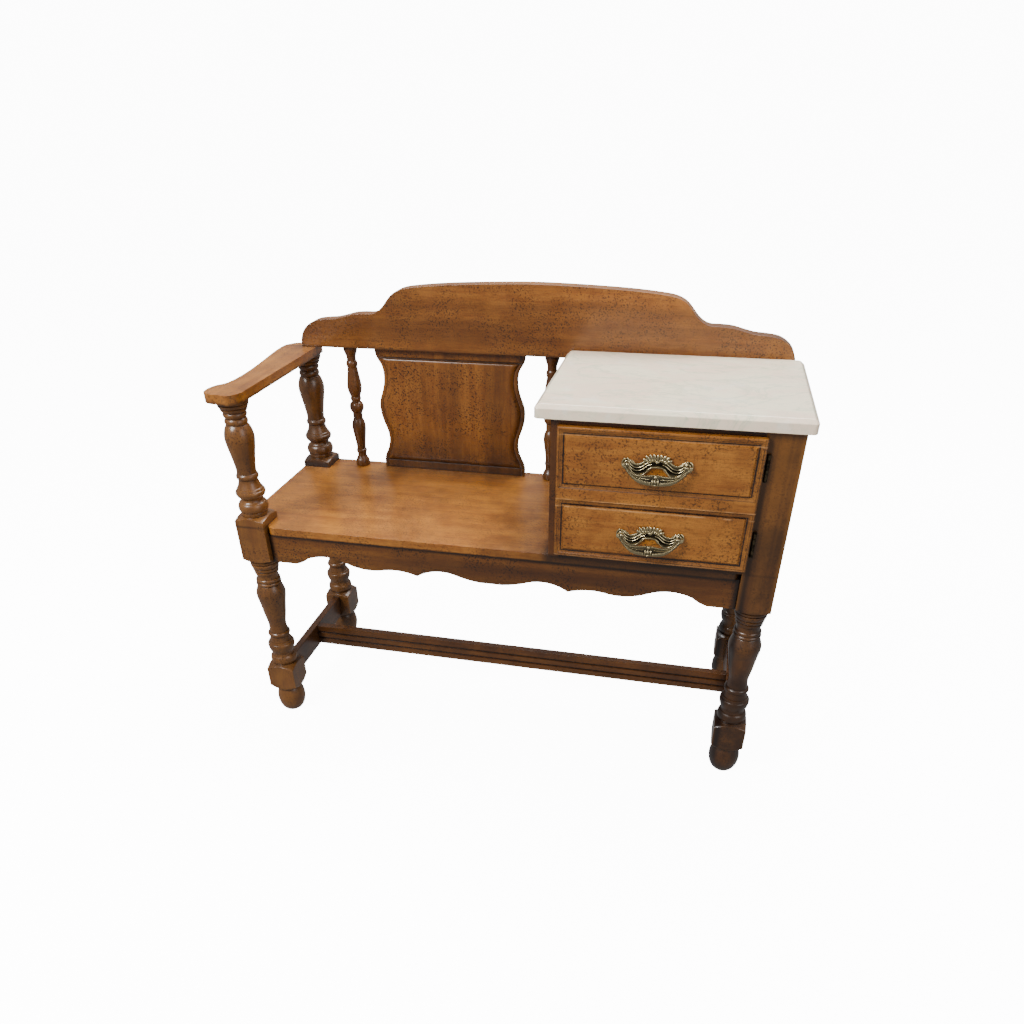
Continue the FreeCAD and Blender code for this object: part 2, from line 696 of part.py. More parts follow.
# Back spindles: turned like small legs, with a pin at each end
SPINDLE = [
    (0.0, "spindle_vase"),
    (0.030, "spindle_vase"),
    (0.110, "spindle_neck"),
    (0.215, "spindle_neck + 1.2"),
    (0.335, "spindle_vase - 0.5"),
    (0.440, "spindle_neck + 0.4"),
    (0.507, "spindle_ball"),
    (0.560, "spindle_neck"),
    (0.672, "spindle_vase"),
    (0.828, "spindle_neck + 0.5"),
    (0.858, "spindle_ring"),
    (0.885, "spindle_neck"),
    (0.975, "spindle_vase - 0.8"),
    (1.0, "spindle_vase - 0.8"),
]
for sign, label in ((-1, "left_back_spindle"), (1, "right_back_spindle")):
    spindle = new_body(label, f"splat_x + {sign} * spindle_spread", "back_y")
    points = profile(number("seat_height"), number("crest_low"), SPINDLE)
    pin, deep = number("spindle_pin"), number("spindle_pin_length")
    ends = [(pin, points[0][1]), points[0]], [(pin, points[-1][1]), (pin, points[-1][1] + deep)]
    base = points[0][1] - deep
    chain = [(pin, base), *ends[0], *points[1:], *ends[1], (0.0, points[-1][1] + deep)]
    sketch = draw(new_sketch(spindle, "Outline", "XZ_Plane"), (0.0, base), chain)
    revolve(spindle, "Turned", sketch)
    rod(seat, "SpindleHole", (f"splat_x + {sign} * spindle_spread", "back_y", "seat_height + 1"), "-z",
        "spindle_pin + joint_gap", "spindle_pin_length + joint_gap + 1", cut=True)

# Cabinet: a left side housed in the seat, a panel between the right posts, rails and a thin back
side = new_body("cabinet_left_side")
box(side, "Board", ("side_x", "side_face"), ("front_y", "panel_back"), ("seat_height - housing_depth", "marble_low"))
box(side, "CrestEar", ("side_x", "side_face"), ("crest_front", "panel_back"), ("marble_low - 1", "crest_low"))
box(side, "FrontFoot", ("side_x - 1", "side_face + 1"), ("front_y - 1", "seat_front + seat_nosing"),
    ("seat_height - housing_depth - 1", "seat_height"), cut=True)
box(side, "BackRebate", ("side_face - panel_groove - joint_gap", "side_face + 1"),
    ("panel_front - joint_gap", "panel_back + 1"), ("seat_height - joint_gap", "crest_low + 1"), cut=True)
box(seat, "SideHousing", ("side_x - joint_gap", "side_face + joint_gap"),
    ("seat_front + seat_nosing - joint_gap", "panel_back + joint_gap"),
    ("seat_height - housing_depth - joint_gap", "seat_height + 1"), cut=True)

panel = new_body("cabinet_back")
box(panel, "Panel", ("side_face - panel_groove", "leg_in + panel_groove"), ("panel_front", "panel_back"),
    ("seat_height", "marble_low"))
box(back_right, "BackPanelGroove", ("-half_leg - 1", "-half_leg + panel_groove + joint_gap"),
    ("panel_front - joint_gap - (back_axis)", "panel_back + joint_gap - (back_axis)"),
    ("seat_height", "crest_low + 1"), cut=True)

panel = new_body("cabinet_right_side", "leg_spacing / 2")
box(panel, "Panel", ("-right_panel / 2", "right_panel / 2"),
    ("end_front - panel_groove", "end_back + panel_groove"), ("seat_height", "marble_low"))


def rail(label, y, low, high, post, post_axis):
    """Make a rail from the left side to a right post, with a stub tenon at each end."""
    body = new_body(label)
    box(body, "Board", ("side_face", "leg_in"), y, (low, high))
    tenon = (f"{y[0]} + rail_thickness / 2 - half_tenon", f"{y[0]} + rail_thickness / 2 + half_tenon")
    hole = (f"{tenon[0]} - joint_gap", f"{tenon[1]} + joint_gap")
    upright = (f"{low} + stub_shoulder", f"{high} - stub_shoulder")
    slot = (f"{upright[0]} - joint_gap", f"{upright[1]} + joint_gap")
    box(body, "Tenons", ("side_face - stub", "leg_in + stub"), tenon, upright)
    box(side, "RailMortise", ("side_face - stub - joint_gap", "side_face + 1"), hole, slot, cut=True)
    local = (f"{hole[0]} - ({post_axis})", f"{hole[1]} - ({post_axis})")
    box(post, "RailMortise", ("-half_leg - 1", "-half_leg + stub + joint_gap"), local, slot, cut=True)


FRONT_RAIL = ("front_y", "front_y + rail_thickness")
rail("cabinet_top_rail", FRONT_RAIL, "marble_low - rail_height", "marble_low", front_right, "front_axis")
rail("cabinet_base_rail", FRONT_RAIL, "seat_height", "seat_height + base_rail", front_right, "front_axis")
rail("cabinet_back_rail", ("end_back", "end_back + rail_thickness"), "marble_low - back_rail_height", "marble_low",
     back_right, "back_axis")

# Marble top: a slab resting on the cabinet and butting against the crest rail
marble = new_body("marble_top", z="marble_low")
box(marble, "Slab", ("marble_left", "marble_right"), ("marble_front", "marble_back"), ("0", "marble_thickness"))
upright = number("marble_thickness")
dress(marble, "BackCorners", "Fillet",
      lambda edge: edge.BoundBox.ZLength > upright - 0.01 and edge.BoundBox.YMin > 0, Radius="marble_corner")
dress(marble, "FrontCorners", "Fillet",
      lambda edge: edge.BoundBox.ZLength > upright - 0.01 and edge.BoundBox.YMax < number("marble_front") + 1.0,
      Radius="marble_front_corner")
dress(marble, "EdgeBevel", "Chamfer", lambda edge: on_plane(edge, "Z", upright), ChamferType="Two distances",
      Size="marble_bevel_down", Size2="marble_bevel_in")


# Door: one lipped board, carved to look like two drawers with a strip between them
door = new_body("cabinet_door")
box(door, "Lip", ("door_left", "door_right"), ("door_border", "lip_back"), ("door_low", "door_high"))
box(door, "Core", ("side_face + door_play", "core_right"), ("lip_back", "door_back"),
    ("seat_height + base_rail + door_play", "marble_low - rail_height - door_play"))
for name, low, high in (("Upper", "strip_top", "door_high - border"), ("Lower", "door_low + border", "strip_low")):
    field = new_sketch(door, name + "Foot", "XZ_Plane", "-(door_border)")
    crown = new_sketch(door, name + "Crown", "XZ_Plane", "-(door_face)")
    for sketch, inset in ((field, 0.0), (crown, number("bevel"))):
        x0, x1 = number("door_left" + " + border") + inset, number("door_right" + " - border") - inset
        z0, z1 = number(low) + inset, number(high) - inset
        draw(sketch, (x0, z0), [(x1, z0), (x1, z1), (x0, z1)])
    raised = door.newObject("PartDesign::AdditiveLoft", name + "Field")
    raised.Profile = field
    raised.Sections = [crown]
    raised.Ruled = True
box(door, "Strip", ("door_left + border", "door_right - border"), ("door_face", "door_border"),
    ("strip_low", "strip_top"))

# Hinges: wrapped cabinet hinges, only their knuckles showing beside the door
TAB = ("front_y - hinge_clear - hinge_plate", "front_y - hinge_clear")
for place in ("upper", "lower"):
    low = f"hinge_{place} - hinge_height / 2"
    lower_half = (low, f"{low} + hinge_height / 2 - knuckle_gap / 2")
    upper_half = (f"{low} + hinge_height / 2 + knuckle_gap / 2", f"{low} + hinge_height")
    whole = (low, f"{low} + hinge_height")
    frame_leaf = new_body(f"{place}_hinge_frame_leaf")
    box(frame_leaf, "Plate", ("leg_in - hinge_plate", "leg_in"), ("front_y", "front_y + hinge_leaf"), whole)
    door_leaf = new_body(f"{place}_hinge_door_leaf")
    box(door_leaf, "Edge", ("core_right", "core_right + hinge_plate"), ("lip_back", "door_back + hinge_plate"), whole)
    box(door_leaf, "Plate", ("core_right - hinge_leaf", "core_right"), ("door_back", "door_back + hinge_plate"),
        whole)
    for leaf, start, (base, top) in ((frame_leaf, "leg_in - hinge_plate", lower_half),
                                     (door_leaf, "core_right", upper_half)):
        box(leaf, "Tab", (start, "hinge_x"), TAB, (base, top))
        if leaf is frame_leaf:
            box(leaf, "Bend", (start, "leg_in"), (TAB[0], "front_y"), (base, top))
        rod(leaf, "Knuckle", ("hinge_x", "hinge_y", base), "+z", "knuckle_radius", f"{top} - ({base})")
        rod(leaf, "PinBore", ("hinge_x", "hinge_y", f"{low} - 1"), "+z", "pin_radius + pin_play", "hinge_height + 2",
            cut=True)
    pin = new_body(f"{place}_hinge_pin")
    rod(pin, "Pin", ("hinge_x", "hinge_y", low), "+z", "pin_radius", "hinge_height")

# Pulls: a cast plate, two posts through the door and a bail that swings in their heads
# Half a plate from its crown to its foot: shares of the reach and of the crown, and the rise of each arc
PLATE = [(0.30, 0.72, -1.6), (0.56, 0.12, 2.6), (0.84, 0.50, 1.2), (0.90, -0.48, -6.5), (0.58, -0.74, 1.0),
         (0.0, -0.22, 3.0)]
for place in ("upper", "lower"):
    level = f"pull_{place}"
    reach, crown = number("pull_reach"), number("pull_crown")
    plate = new_body(f"{place}_pull_plate", "pull_x", "door_face", level)
    right = [(x * reach, z * crown, rise) for x, z, rise in PLATE]
    rises = [rise for _, _, rise in right]
    mirror_points = [(-x, z) for x, z, _ in reversed(right[:-1])] + [(0.0, crown)]
    left = [(*point, rise) for point, rise in zip(mirror_points, reversed(rises))]
    sketch = draw(new_sketch(plate, "Outline", "XZ_Plane"), (0.0, crown), right + left)
    pad(plate, "Plate", sketch, "pull_plate")
    posts = new_body(f"{place}_pull_posts", "pull_x", "pivot_y", level)
    nuts = new_body(f"{place}_pull_nuts", "pull_x", "door_back", level)
    bail = new_body(f"{place}_bail", "pull_x", "pivot_y", level)
    for group in (posts, nuts):
        group.AllowCompound = True
    for sign in (-1, 1):
        post_x = f"{sign} * pull_post_spread / 2"
        rod(plate, "StemHole", (post_x, "1", "0"), "-y", "post_stem + stem_play", "pull_plate + 2", cut=True)
        rod(door, "StemHole", (f"pull_x + {post_x}", "door_face - 1", level), "+y", "post_stem + stem_play",
            "door_thickness + 2", cut=True)
        box(posts, "Head", (f"{post_x} - post_radius", f"{post_x} + post_radius"),
            ("-post_radius", "pull_standoff - pull_plate"), ("-post_radius", "post_radius"))
        rod(posts, "Stem", (post_x, "pull_standoff - pull_plate - 1", "0"), "+y", "post_stem",
            "pull_plate + door_thickness + nut_height + 1")
        rod(nuts, "Nut", (post_x, "0", "0"), "+y", "nut_radius", "nut_height")
        rod(nuts, "NutBore", (post_x, "-1", "0"), "+y", "post_stem + joint_gap", "nut_height + 2", cut=True)
    rod(posts, "PinHole", ("-pull_reach", "0", "0"), "+x", "bail_pin + pin_play", "2 * pull_reach", cut=True)
    bail.Placement = Placement(Vector(), Rotation(Vector(-1, 0, 0), number("pull_tilt")))
    for axis, formula in zip("xyz", ("pull_x", "pivot_y", level)):
        bail.setExpression("Placement.Base." + axis, bound(formula))
    eye = number("pull_post_spread / 2 + post_radius + side_play")
    arm_x = eye + number("bail_eye_length")
    drop, neck = number("pull_drop"), number("1.6 * post_radius")
    sketch = new_sketch(bail, "Crescent", "XZ_Plane", "-bail_thickness / 2")
    inner_x = arm_x - number("bail_arm")
    chain = [(0.62 * arm_x, -0.80 * drop, -4.6), (-0.62 * arm_x, -0.80 * drop, -0.20 * drop), (-arm_x, 0.0, -4.6),
             (-inner_x, 0.0), (-inner_x, -neck), (-0.62 * arm_x, -0.34 * drop, 0.8),
             (-0.33 * arm_x, -0.48 * drop, 0.6), (0.33 * arm_x, -0.48 * drop, 2.6),
             (0.62 * arm_x, -0.34 * drop, 0.6), (inner_x, -neck, 0.8), (inner_x, 0.0)]
    draw(sketch, (arm_x, 0.0), chain)
    pad(bail, "Bow", sketch, "bail_thickness")
    for sign, toward, inward in ((-1, "-x", "+x"), (1, "+x", "-x")):
        start = f"{sign} * (pull_post_spread / 2 + post_radius + side_play)"
        rod(bail, "Eye", (start, "0", "0"), toward, "bail_eye", "bail_eye_length")
        rod(bail, "Pivot", (start, "0", "0"), inward, "bail_pin", "2 * post_radius + side_play")

# Catch: a magnet inside the left side of the cabinet and a steel strike on the door
STRIKE_X = ("side_face + door_play + 1", "side_face + catch_width")
catch = new_body("catch_magnet")
box(catch, "Case", ("side_face", "side_face + catch_width"),
    ("door_back + strike_thickness + catch_gap", "door_back + strike_thickness + catch_gap + catch_depth"),
    ("catch_z - catch_length / 2", "catch_z + catch_length / 2"))
strike = new_body("catch_strike")
box(strike, "Plate", STRIKE_X, ("door_back", "door_back + strike_thickness"),
    ("catch_z - catch_length / 2", "catch_z + catch_length / 2"))


# Check every feature and every sub-part, and only then write the files
doc.recompute()
failed = [f"{item.Label}: {item.State}" for item in doc.Objects if {"Invalid", "Error"} & set(item.State)]
bodies = [item for item in doc.Objects if item.TypeId == "PartDesign::Body"]
failed += [item.Label for item in bodies if item.Shape.isNull() or not item.Shape.isValid()]
if failed:
    raise RuntimeError("not valid: " + ", ".join(failed))
os.makedirs("parts", exist_ok=True)
for item in bodies:
    item.Shape.exportStep(f"parts/{item.Label}.step")
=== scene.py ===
"""Telephone bench: honey-brown maple, a marble top and antique brass pulls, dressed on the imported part.

Metres, in the part's own frame: +X runs from the arm to the cabinet, +Y from front to back, +Z up.
"""
import math

import bmesh
import bpy
from mathutils import Matrix, Vector


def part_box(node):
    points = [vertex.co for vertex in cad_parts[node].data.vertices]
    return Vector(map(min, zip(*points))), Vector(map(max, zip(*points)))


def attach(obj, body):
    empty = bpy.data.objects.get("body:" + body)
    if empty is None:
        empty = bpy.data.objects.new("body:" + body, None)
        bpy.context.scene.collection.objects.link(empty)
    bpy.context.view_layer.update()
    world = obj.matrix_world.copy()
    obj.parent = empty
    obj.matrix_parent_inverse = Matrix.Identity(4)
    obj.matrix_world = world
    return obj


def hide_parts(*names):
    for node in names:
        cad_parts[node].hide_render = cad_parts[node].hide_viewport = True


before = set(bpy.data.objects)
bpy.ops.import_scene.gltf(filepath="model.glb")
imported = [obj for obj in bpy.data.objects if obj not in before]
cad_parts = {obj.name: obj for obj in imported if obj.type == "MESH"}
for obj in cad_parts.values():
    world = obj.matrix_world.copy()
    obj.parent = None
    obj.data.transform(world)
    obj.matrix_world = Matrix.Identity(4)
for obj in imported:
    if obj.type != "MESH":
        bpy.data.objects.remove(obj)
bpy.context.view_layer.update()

# LEGS
# Four legs of solid maple, each from one square length: turned round between its blocks, where the
# rails and stretchers are tenoned in, with rounded shoulders (pommels) left at the ends of the blocks.

MM = 0.001


class Value:
    """A shader socket that takes part in sums; each sum adds its own Math node."""

    def __init__(self, finish, socket):
        self.finish, self.socket = finish, socket

    def math(self, operation, *others, clamp=False):
        return self.finish.node("ShaderNodeMath", [self, *others], operation=operation, use_clamp=clamp)

    def __add__(self, other):
        return self.math("ADD", other)

    __radd__ = __add__

    def __sub__(self, other):
        return self.math("SUBTRACT", other)

    def __rsub__(self, other):
        return self.finish.node("ShaderNodeMath", [other, self], operation="SUBTRACT")

    def __mul__(self, other):
        return self.math("MULTIPLY", other)

    __rmul__ = __mul__

    def size(self):
        return self.math("ABSOLUTE")

    def between(self, low, high):
        """0 where the value is at low, 1 where it is at high, smooth in between."""
        return self.finish.node("ShaderNodeMapRange", [self, low, high], interpolation_type="SMOOTHSTEP")

    def near(self, place, reach):
        """1 where the value is at a place, fading to 0 at a reach from it."""
        return 1 - (self - place).size().between(0.0, reach)


class Finish:
    """A procedural material on one Principled shader, with a pattern on Object coordinates."""

    def __init__(self, name):
        self.material = bpy.data.materials.new(name)
        self.material.use_nodes = True
        self.tree = self.material.node_tree
        self.surface = self.tree.nodes["Principled BSDF"]
        self.place = self.node("ShaderNodeTexCoord", output="Object")

    def node(self, kind, inputs=(), output=0, **settings):
        """Add a node; its settings first, then the values or links of its sockets."""
        node = self.tree.nodes.new(kind)
        for key, setting in settings.items():
            setattr(node, key, setting)
        for key, value in (inputs.items() if isinstance(inputs, dict) else enumerate(inputs)):
            self.feed(node.inputs[key], value)
        return Value(self, node.outputs[output])

    def feed(self, socket, value):
        if isinstance(value, Value):
            self.tree.links.new(value.socket, socket)
        elif socket.type == "RGBA" and len(value) == 3:
            socket.default_value = (*value, 1.0)
        else:
            socket.default_value = value

    def moved(self, place=(0, 0, 0), scale=(1, 1, 1)):
        """Object coordinates less a place, then stretched."""
        centred = self.node("ShaderNodeVectorMath", [self.place, place], operation="SUBTRACT")
        return self.node("ShaderNodeVectorMath", [centred, scale], operation="MULTIPLY")

    def along(self, axis):
        """One of the Object coordinates."""
        return self.node("ShaderNodeSeparateXYZ", [self.place], output="XYZ".index(axis.upper()))

    def noise(self, scale, detail=2.0, roughness=0.5, place=None, distortion=0.0):
        return self.node("ShaderNodeTexNoise", {"Vector": place or self.place, "Scale": scale, "Detail": detail,
                                                "Roughness": roughness, "Distortion": distortion})

    def mix(self, amount, first, second, way="MIX"):
        """Blend two colours, from the first at 0 to the second at 1."""
        return self.node("ShaderNodeMix", {0: amount, 6: first, 7: second}, output=2, data_type="RGBA",
                         blend_type=way)

    def set(self, **sockets):
        """Feed the shader's own sockets; a two-word name is written with a low line."""
        for name, value in sockets.items():
            self.feed(self.surface.inputs[name.replace("_", " ")], value)

    def bump(self, height, distance):
        self.set(Normal=self.node("ShaderNodeBump", {"Height": height, "Distance": distance}))


HONEY = (0.440, 0.172, 0.026)
AMBER = (0.235, 0.074, 0.0105)
BROWN = (0.082, 0.025, 0.0045)
UMBER = (0.0125, 0.0050, 0.0028)
OLIVE = (0.085, 0.052, 0.020)
# pale wood colour of the painted highlights on arrises
ARRIS_HIGHLIGHT_WOOD = (0.62, 0.33, 0.14)
# Object coordinates are shortened along the grain, so that a noise runs out into streaks
ALONG = {"x": (0.07, 1.0, 1.0), "y": (1.0, 0.07, 1.0), "z": (1.0, 1.0, 0.07)}


def maple(name, grain, darker=0.0, specks=0.5, seed=0.0, blotch=0.5, turned=False, shade=(), olive=0.0,
          lines=None, deep=0.0, worn=None):
    """Stained and glazed maple: streaked along the grain, blotched, fly-specked, under satin lacquer.

    On a turned piece the hollows are darkened, glaze with painted shade, and the arrises lightened, a painted
    highlight. Each shade is an axis, a place on it in millimetres, a reach and an amount: painted shade, with
    dirt in a joint, darkening the wood there. Deep is a blotchy darkening over the whole piece, old glaze and
    painted shade on pieces that stand in shade; lines and worn are patterns that the piece brings itself.
    """
    finish = Finish(name)
    stretched = finish.moved((seed, seed * 0.7, seed * 1.3), ALONG[grain])
    streaks = finish.noise(85.0, 5.0, 0.62, stretched, 0.5)
    fibres = finish.noise(700.0, 3.0, 0.6, stretched)
    blotch_place = finish.moved((seed, seed, 0.0), ALONG[grain] if blotch > 0.6 else (1, 1, 1))
    blotches = finish.noise(11.0, 4.0, 0.6, blotch_place)
    wood = finish.mix((streaks * 0.55 + finish.noise(26.0, 4.0, 0.62) * 0.45).between(0.30, 0.70), AMBER, HONEY)
    wood = finish.mix(blotches.between(0.45, 0.68) * blotch, wood, BROWN)
    wood = finish.mix(fibres.between(0.44, 0.74) * 0.42, wood, BROWN)
    if olive:
        wood = finish.mix(olive, wood, OLIVE)
    if darker:
        wood = finish.mix(darker, wood, BROWN)
    # blotchy darkening over the whole piece: old glaze, and painted shade on the pieces that stand in shade
    if deep:
        wood = finish.mix(blotches.between(0.25, 0.70) * deep + deep * 0.35, wood, UMBER)
    dots = finish.noise(330.0, 2.0, 0.6).between(0.535, 0.62)
    where = finish.noise(15.0, 3.0, 0.6, finish.moved((seed, 0.0, seed))).between(0.36, 0.58)
    wood = finish.mix(dots * where * specks * 0.85, wood, UMBER)
    pits = finish.noise(800.0, 2.0, 0.6).between(0.56, 0.66)
    wood = finish.mix(pits * specks * 0.4, wood, UMBER)
    # painted shade, with dirt in a joint, darkening the wood near each place given
    for axis, place, reach, amount in shade:
        painted_shade_zone = finish.along(axis).near(place * MM, reach * MM)
        ragged = finish.noise(70.0, 3.0, 0.6) * 0.8 + 0.45
        wood = finish.mix((painted_shade_zone * ragged).math("MULTIPLY", amount, clamp=True), wood, UMBER)
    if lines:
        wood = finish.mix(lines(finish), wood, UMBER)
    # pale wood mixed in as a painted highlight where the piece brings one
    if worn:
        wood = finish.mix(worn(finish), wood, ARRIS_HIGHLIGHT_WOOD)
    gloss = finish.noise(35.0, 2.0) * 0.20 + 0.24
    if turned:
        # hollows darkened, glaze with painted shade; convex arrises lightened, a painted highlight
        bend = finish.node("ShaderNodeNewGeometry", output="Pointiness")
        wood = finish.mix((1 - bend.between(0.455, 0.497)) * 0.93, wood, UMBER)
        wood = finish.mix(bend.between(0.515, 0.58) * 0.30, wood, HONEY)
    finish.set(Base_Color=wood, Roughness=gloss, Coat_Weight=0.30, Coat_Roughness=0.14, Specular_IOR_Level=0.42)
    finish.bump(streaks * 0.4 + fibres * 0.6, 0.00022)
    return finish.material


def curve(points, count=6):
    """A smooth line through points in the plane, count steps from each to the next."""
    padded = [2 * points[0] - points[1], *points, 2 * points[-1] - points[-2]]
    line = []
    for before, here, there, after in zip(padded, padded[1:], padded[2:], padded[3:]):
        for step in range(count):
            t = step / count
            line.append(here + 0.5 * t * (there - before + t * (2 * before - 5 * here + 4 * there - after
                        + t * (3 * (here - there) + after - before))))
    return line + [points[-1]]


def outline(*runs, count=6):
    """Smooth runs that meet in creases, each a list of pairs in millimetres."""
    return [point * MM for run in runs for point in curve([Vector(pair) for pair in run], count)]


def mesh_piece(name, bm, body, material, stands_for, crease=40.0):
    """Make a bmesh a finished piece that rides on a body and stands for its CAD nodes."""
    bmesh.ops.remove_doubles(bm, verts=bm.verts, dist=0.00001)
    bmesh.ops.recalc_face_normals(bm, faces=bm.faces)
    for face in bm.faces:
        face.smooth = True
    for edge in bm.edges:
        edge.smooth = len(edge.link_faces) == 2 and edge.calc_face_angle() < math.radians(crease)
    mesh = bpy.data.meshes.new(name)
    bm.to_mesh(mesh)
    bm.free()
    piece = bpy.data.objects.new(name, mesh)
    bpy.context.scene.collection.objects.link(piece)
    mesh.materials.append(material)
    weighted = piece.modifiers.new("even_shading", "WEIGHTED_NORMAL")
    weighted.keep_sharp = True
    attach(piece, body)
    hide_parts(*stands_for)


def spun(bm, line, steps, centre=(0.0, 0.0)):
    """Turn a line of (radius, height) round an upright axis."""
    verts = [bm.verts.new((r, 0.0, z)) for r, z in line]
    edges = [bm.edges.new(pair) for pair in zip(verts, verts[1:])]
    bmesh.ops.spin(bm, geom=verts + edges, cent=(0, 0, 0), axis=(0, 0, 1), angle=2 * math.pi, steps=steps,
                   use_merge=True)
    bmesh.ops.translate(bm, verts=bm.verts, vec=(*centre, 0.0))


# Profiles of the leg from the floor up, each a list of (radius, height) in millimetres; where the
# radius is more than half the stock the turning has run out into the square block.
FOOT = [[(0.01, 0.0), (6.0, 0.0), (12.4, 0.0)],
        [(12.4, 0.0), (16.0, 1.6), (19.5, 4.6), (23.0, 9.8), (26.3, 18), (27.9, 27), (28.2, 35), (27.0, 44),
         (24.5, 52), (22.2, 57)],
        [(22.2, 57.2), (23.6, 59.6), (27.4, 62.2), (33.0, 66), (41.4, 73)]]
LOWER_TURNING = [
    [(41.4, 112), (36.5, 115.6), (31.5, 118.6), (27, 120.6), (23.2, 122.4)],
    [(23.2, 122.4), (25.4, 126), (26.3, 131), (25.4, 137), (23.0, 141.4)],
    [(21.6, 141.8), (20.7, 145), (20.9, 148.6), (22.4, 151)],
    [(23.4, 151.2), (25.3, 157), (26.5, 164), (26.2, 168), (25.2, 170)],
    [(24.0, 170.6), (22.8, 174.2)], [(21.2, 174.8), (19.4, 181.6), (18.6, 186)],
    [(19.2, 186.2), (21.3, 188.4), (21.9, 191), (21.2, 193.8), (19.0, 196)],
    [(18.2, 196.2), (17.6, 203), (17.3, 211), (17.8, 218), (19.9, 229), (22.0, 242), (24.8, 262), (27.2, 275),
     (28.1, 284), (27.0, 291), (24.6, 298), (22.2, 304)],
    [(21.6, 304.4), (23.6, 306.2), (23.9, 308.4), (22.6, 310.8)],
    [(21.8, 311.2), (23.0, 313.2), (23.0, 316.4), (21.6, 318.6)],
    [(20.8, 319.0), (20.4, 323), (20.9, 327.6)],
    [(21.4, 328.0), (22.8, 331.0), (22.9, 334.4)], [(22.0, 334.8), (24.2, 338), (24.8, 341.8)],
    [(23.8, 342.2), (26.0, 345.4), (27.2, 349.4), (26.6, 352.2)], [(25.4, 352.6), (27.6, 355.4), (27.9, 358.4)],
    [(26.6, 358.8), (28.4, 360.6), (32.0, 362.4), (36.6, 364.6), (41.4, 367.6)]]
UPPER_TURNING = [
    [(41.4, 443.4), (36.5, 446.4), (31.5, 448.4), (27, 449.8), (24.0, 450.6)],
    [(23.6, 450.8), (24.4, 457)],
    [(24.0, 458.0), (26.2, 461.4), (27.0, 466), (26.0, 471.4), (23.8, 475.4)],
    [(22.4, 476), (20.2, 478.8), (19.5, 482), (20.8, 485)],
    [(22.4, 485.2), (25.2, 488.8), (26.8, 493.6), (26.1, 497.2)],
    [(24.8, 497.8), (23.4, 501.8)], [(21.8, 502.6), (19.4, 509), (17.8, 514), (17.0, 518.8)],
    [(17.6, 519), (19.4, 521), (20.0, 524), (19.3, 527), (17.6, 529.2)],
    [(17.2, 529.6), (17.5, 536), (18.2, 544), (20.9, 561), (24.2, 579), (25.9, 592), (25.2, 601), (23.2, 609),
     (20.6, 614.6), (18.2, 618)],
    [(18.6, 618.2), (19.8, 620.6), (20.1, 623.6), (19.2, 626.6), (17.4, 628.8)],
    [(17.6, 629.4), (19.8, 632.0), (20.6, 635.4), (19.6, 638.4)],
    [(19.0, 639.0), (22.2, 641.8), (23.4, 645.6)], [(22.4, 646.0), (25.2, 648.8), (26.6, 652.8)],
    [(25.4, 653.2), (27.2, 655.8), (26.9, 660)],
    [(26.7, 660), (13.0, 660), (0.01, 660)]]


HALF_STOCK, EASED = 28.5 * MM, 1.3 * MM
LEG_STEPS = 64


def square_up(bm):
    """Press what stands out of the square stock back to its four faces, with eased corners.

    Of the columns of points from the middle of a face to its corner, the last but one is moved to
    where the flat ends, and the last one rounds the corner.
    """
    columns = LEG_STEPS // 8
    flat_end = math.atan((HALF_STOCK - EASED) / HALF_STOCK)
    corner = (HALF_STOCK - 0.3 * EASED) * math.sqrt(2)
    for vert in bm.verts:
        angle = math.atan2(vert.co.y, vert.co.x)
        quarter = round(angle / (math.pi / 2)) * math.pi / 2
        share = (angle - quarter) / (math.pi / 4)
        if abs(share) < 0.99:
            turn = math.copysign(min(abs(share) * columns / (columns - 1), 1.0) * flat_end, share)
            reach = HALF_STOCK / math.cos(turn)
        else:
            turn, reach = share * math.pi / 4, corner
        radius = min(math.hypot(vert.co.x, vert.co.y), reach)
        vert.co.x, vert.co.y = radius * math.cos(quarter + turn), radius * math.sin(quarter + turn)


SEAT_UNDER, SEAT_TOP, MARBLE_UNDER, CREST_UNDER = 418.0, 434.0, 671.5, 676.5
CREST_FRONT, CREST_BACK = 153.9, 181.9
LEG_X, FRONT_Y, BACK_Y = 450.0, -134.1, 167.9
# Leg, its place, the top of a post left square (none: a second turning up to the arm), stain, old glaze;
# the darker stain and glaze of the right front post and of the back legs are in part painted shade
LEGS = (("front_left", -LEG_X, FRONT_Y, None, 0.30, 0.12), ("back_left", -LEG_X, BACK_Y, None, 0.30, 0.42),
        ("front_right", LEG_X, FRONT_Y, MARBLE_UNDER, 0.46, 0.66),
        ("back_right", LEG_X, BACK_Y, CREST_UNDER, 0.30, 0.42))
for label, x, y, top, stain, glaze in LEGS:
    line = outline(*FOOT, *LOWER_TURNING)
    if top:
        line += outline([(41.4, top), (20.0, top), (0.01, top)])
    else:
        line += outline(*UPPER_TURNING)
    bm = bmesh.new()
    spun(bm, line, LEG_STEPS)
    square_up(bm)
    if label == "back_right":
        # above the marble's underside only the part below the crest rail is left
        for vert in bm.verts:
            if vert.co.z > (MARBLE_UNDER + 0.1) * MM:
                vert.co.y = max(vert.co.y, (CREST_FRONT - BACK_Y) * MM)
    bmesh.ops.translate(bm, verts=bm.verts, vec=(x * MM, y * MM, 0.0))
    joint_and_shade_marks = [("z", SEAT_TOP, 4, 0.6), ("z", 121, 6, 0.4), ("z", 60, 8, 0.4), ("z", 360, 7, 0.4)]
    # the square posts darkened as painted shadow beside the door's gap and under the marble or the crest; the
    # back left leg darker just above the seat
    if top:
        joint_and_shade_marks += [("x", 428.0, 8, 1.3), ("x", 421.5, 24, 1.0), ("z", top, 16, 0.9)]
    elif y > 0:
        joint_and_shade_marks += [("z", 438, 16, 1.2)]
    turned_maple = maple(label + "_leg_maple", "z", darker=stain, specks=0.7, seed=(x + y) * MM, olive=0.42,
                         turned=True, shade=joint_and_shade_marks, deep=glaze)
    mesh_piece(label + "_turned_leg", bm, "frame", turned_maple, [label + "_leg"])
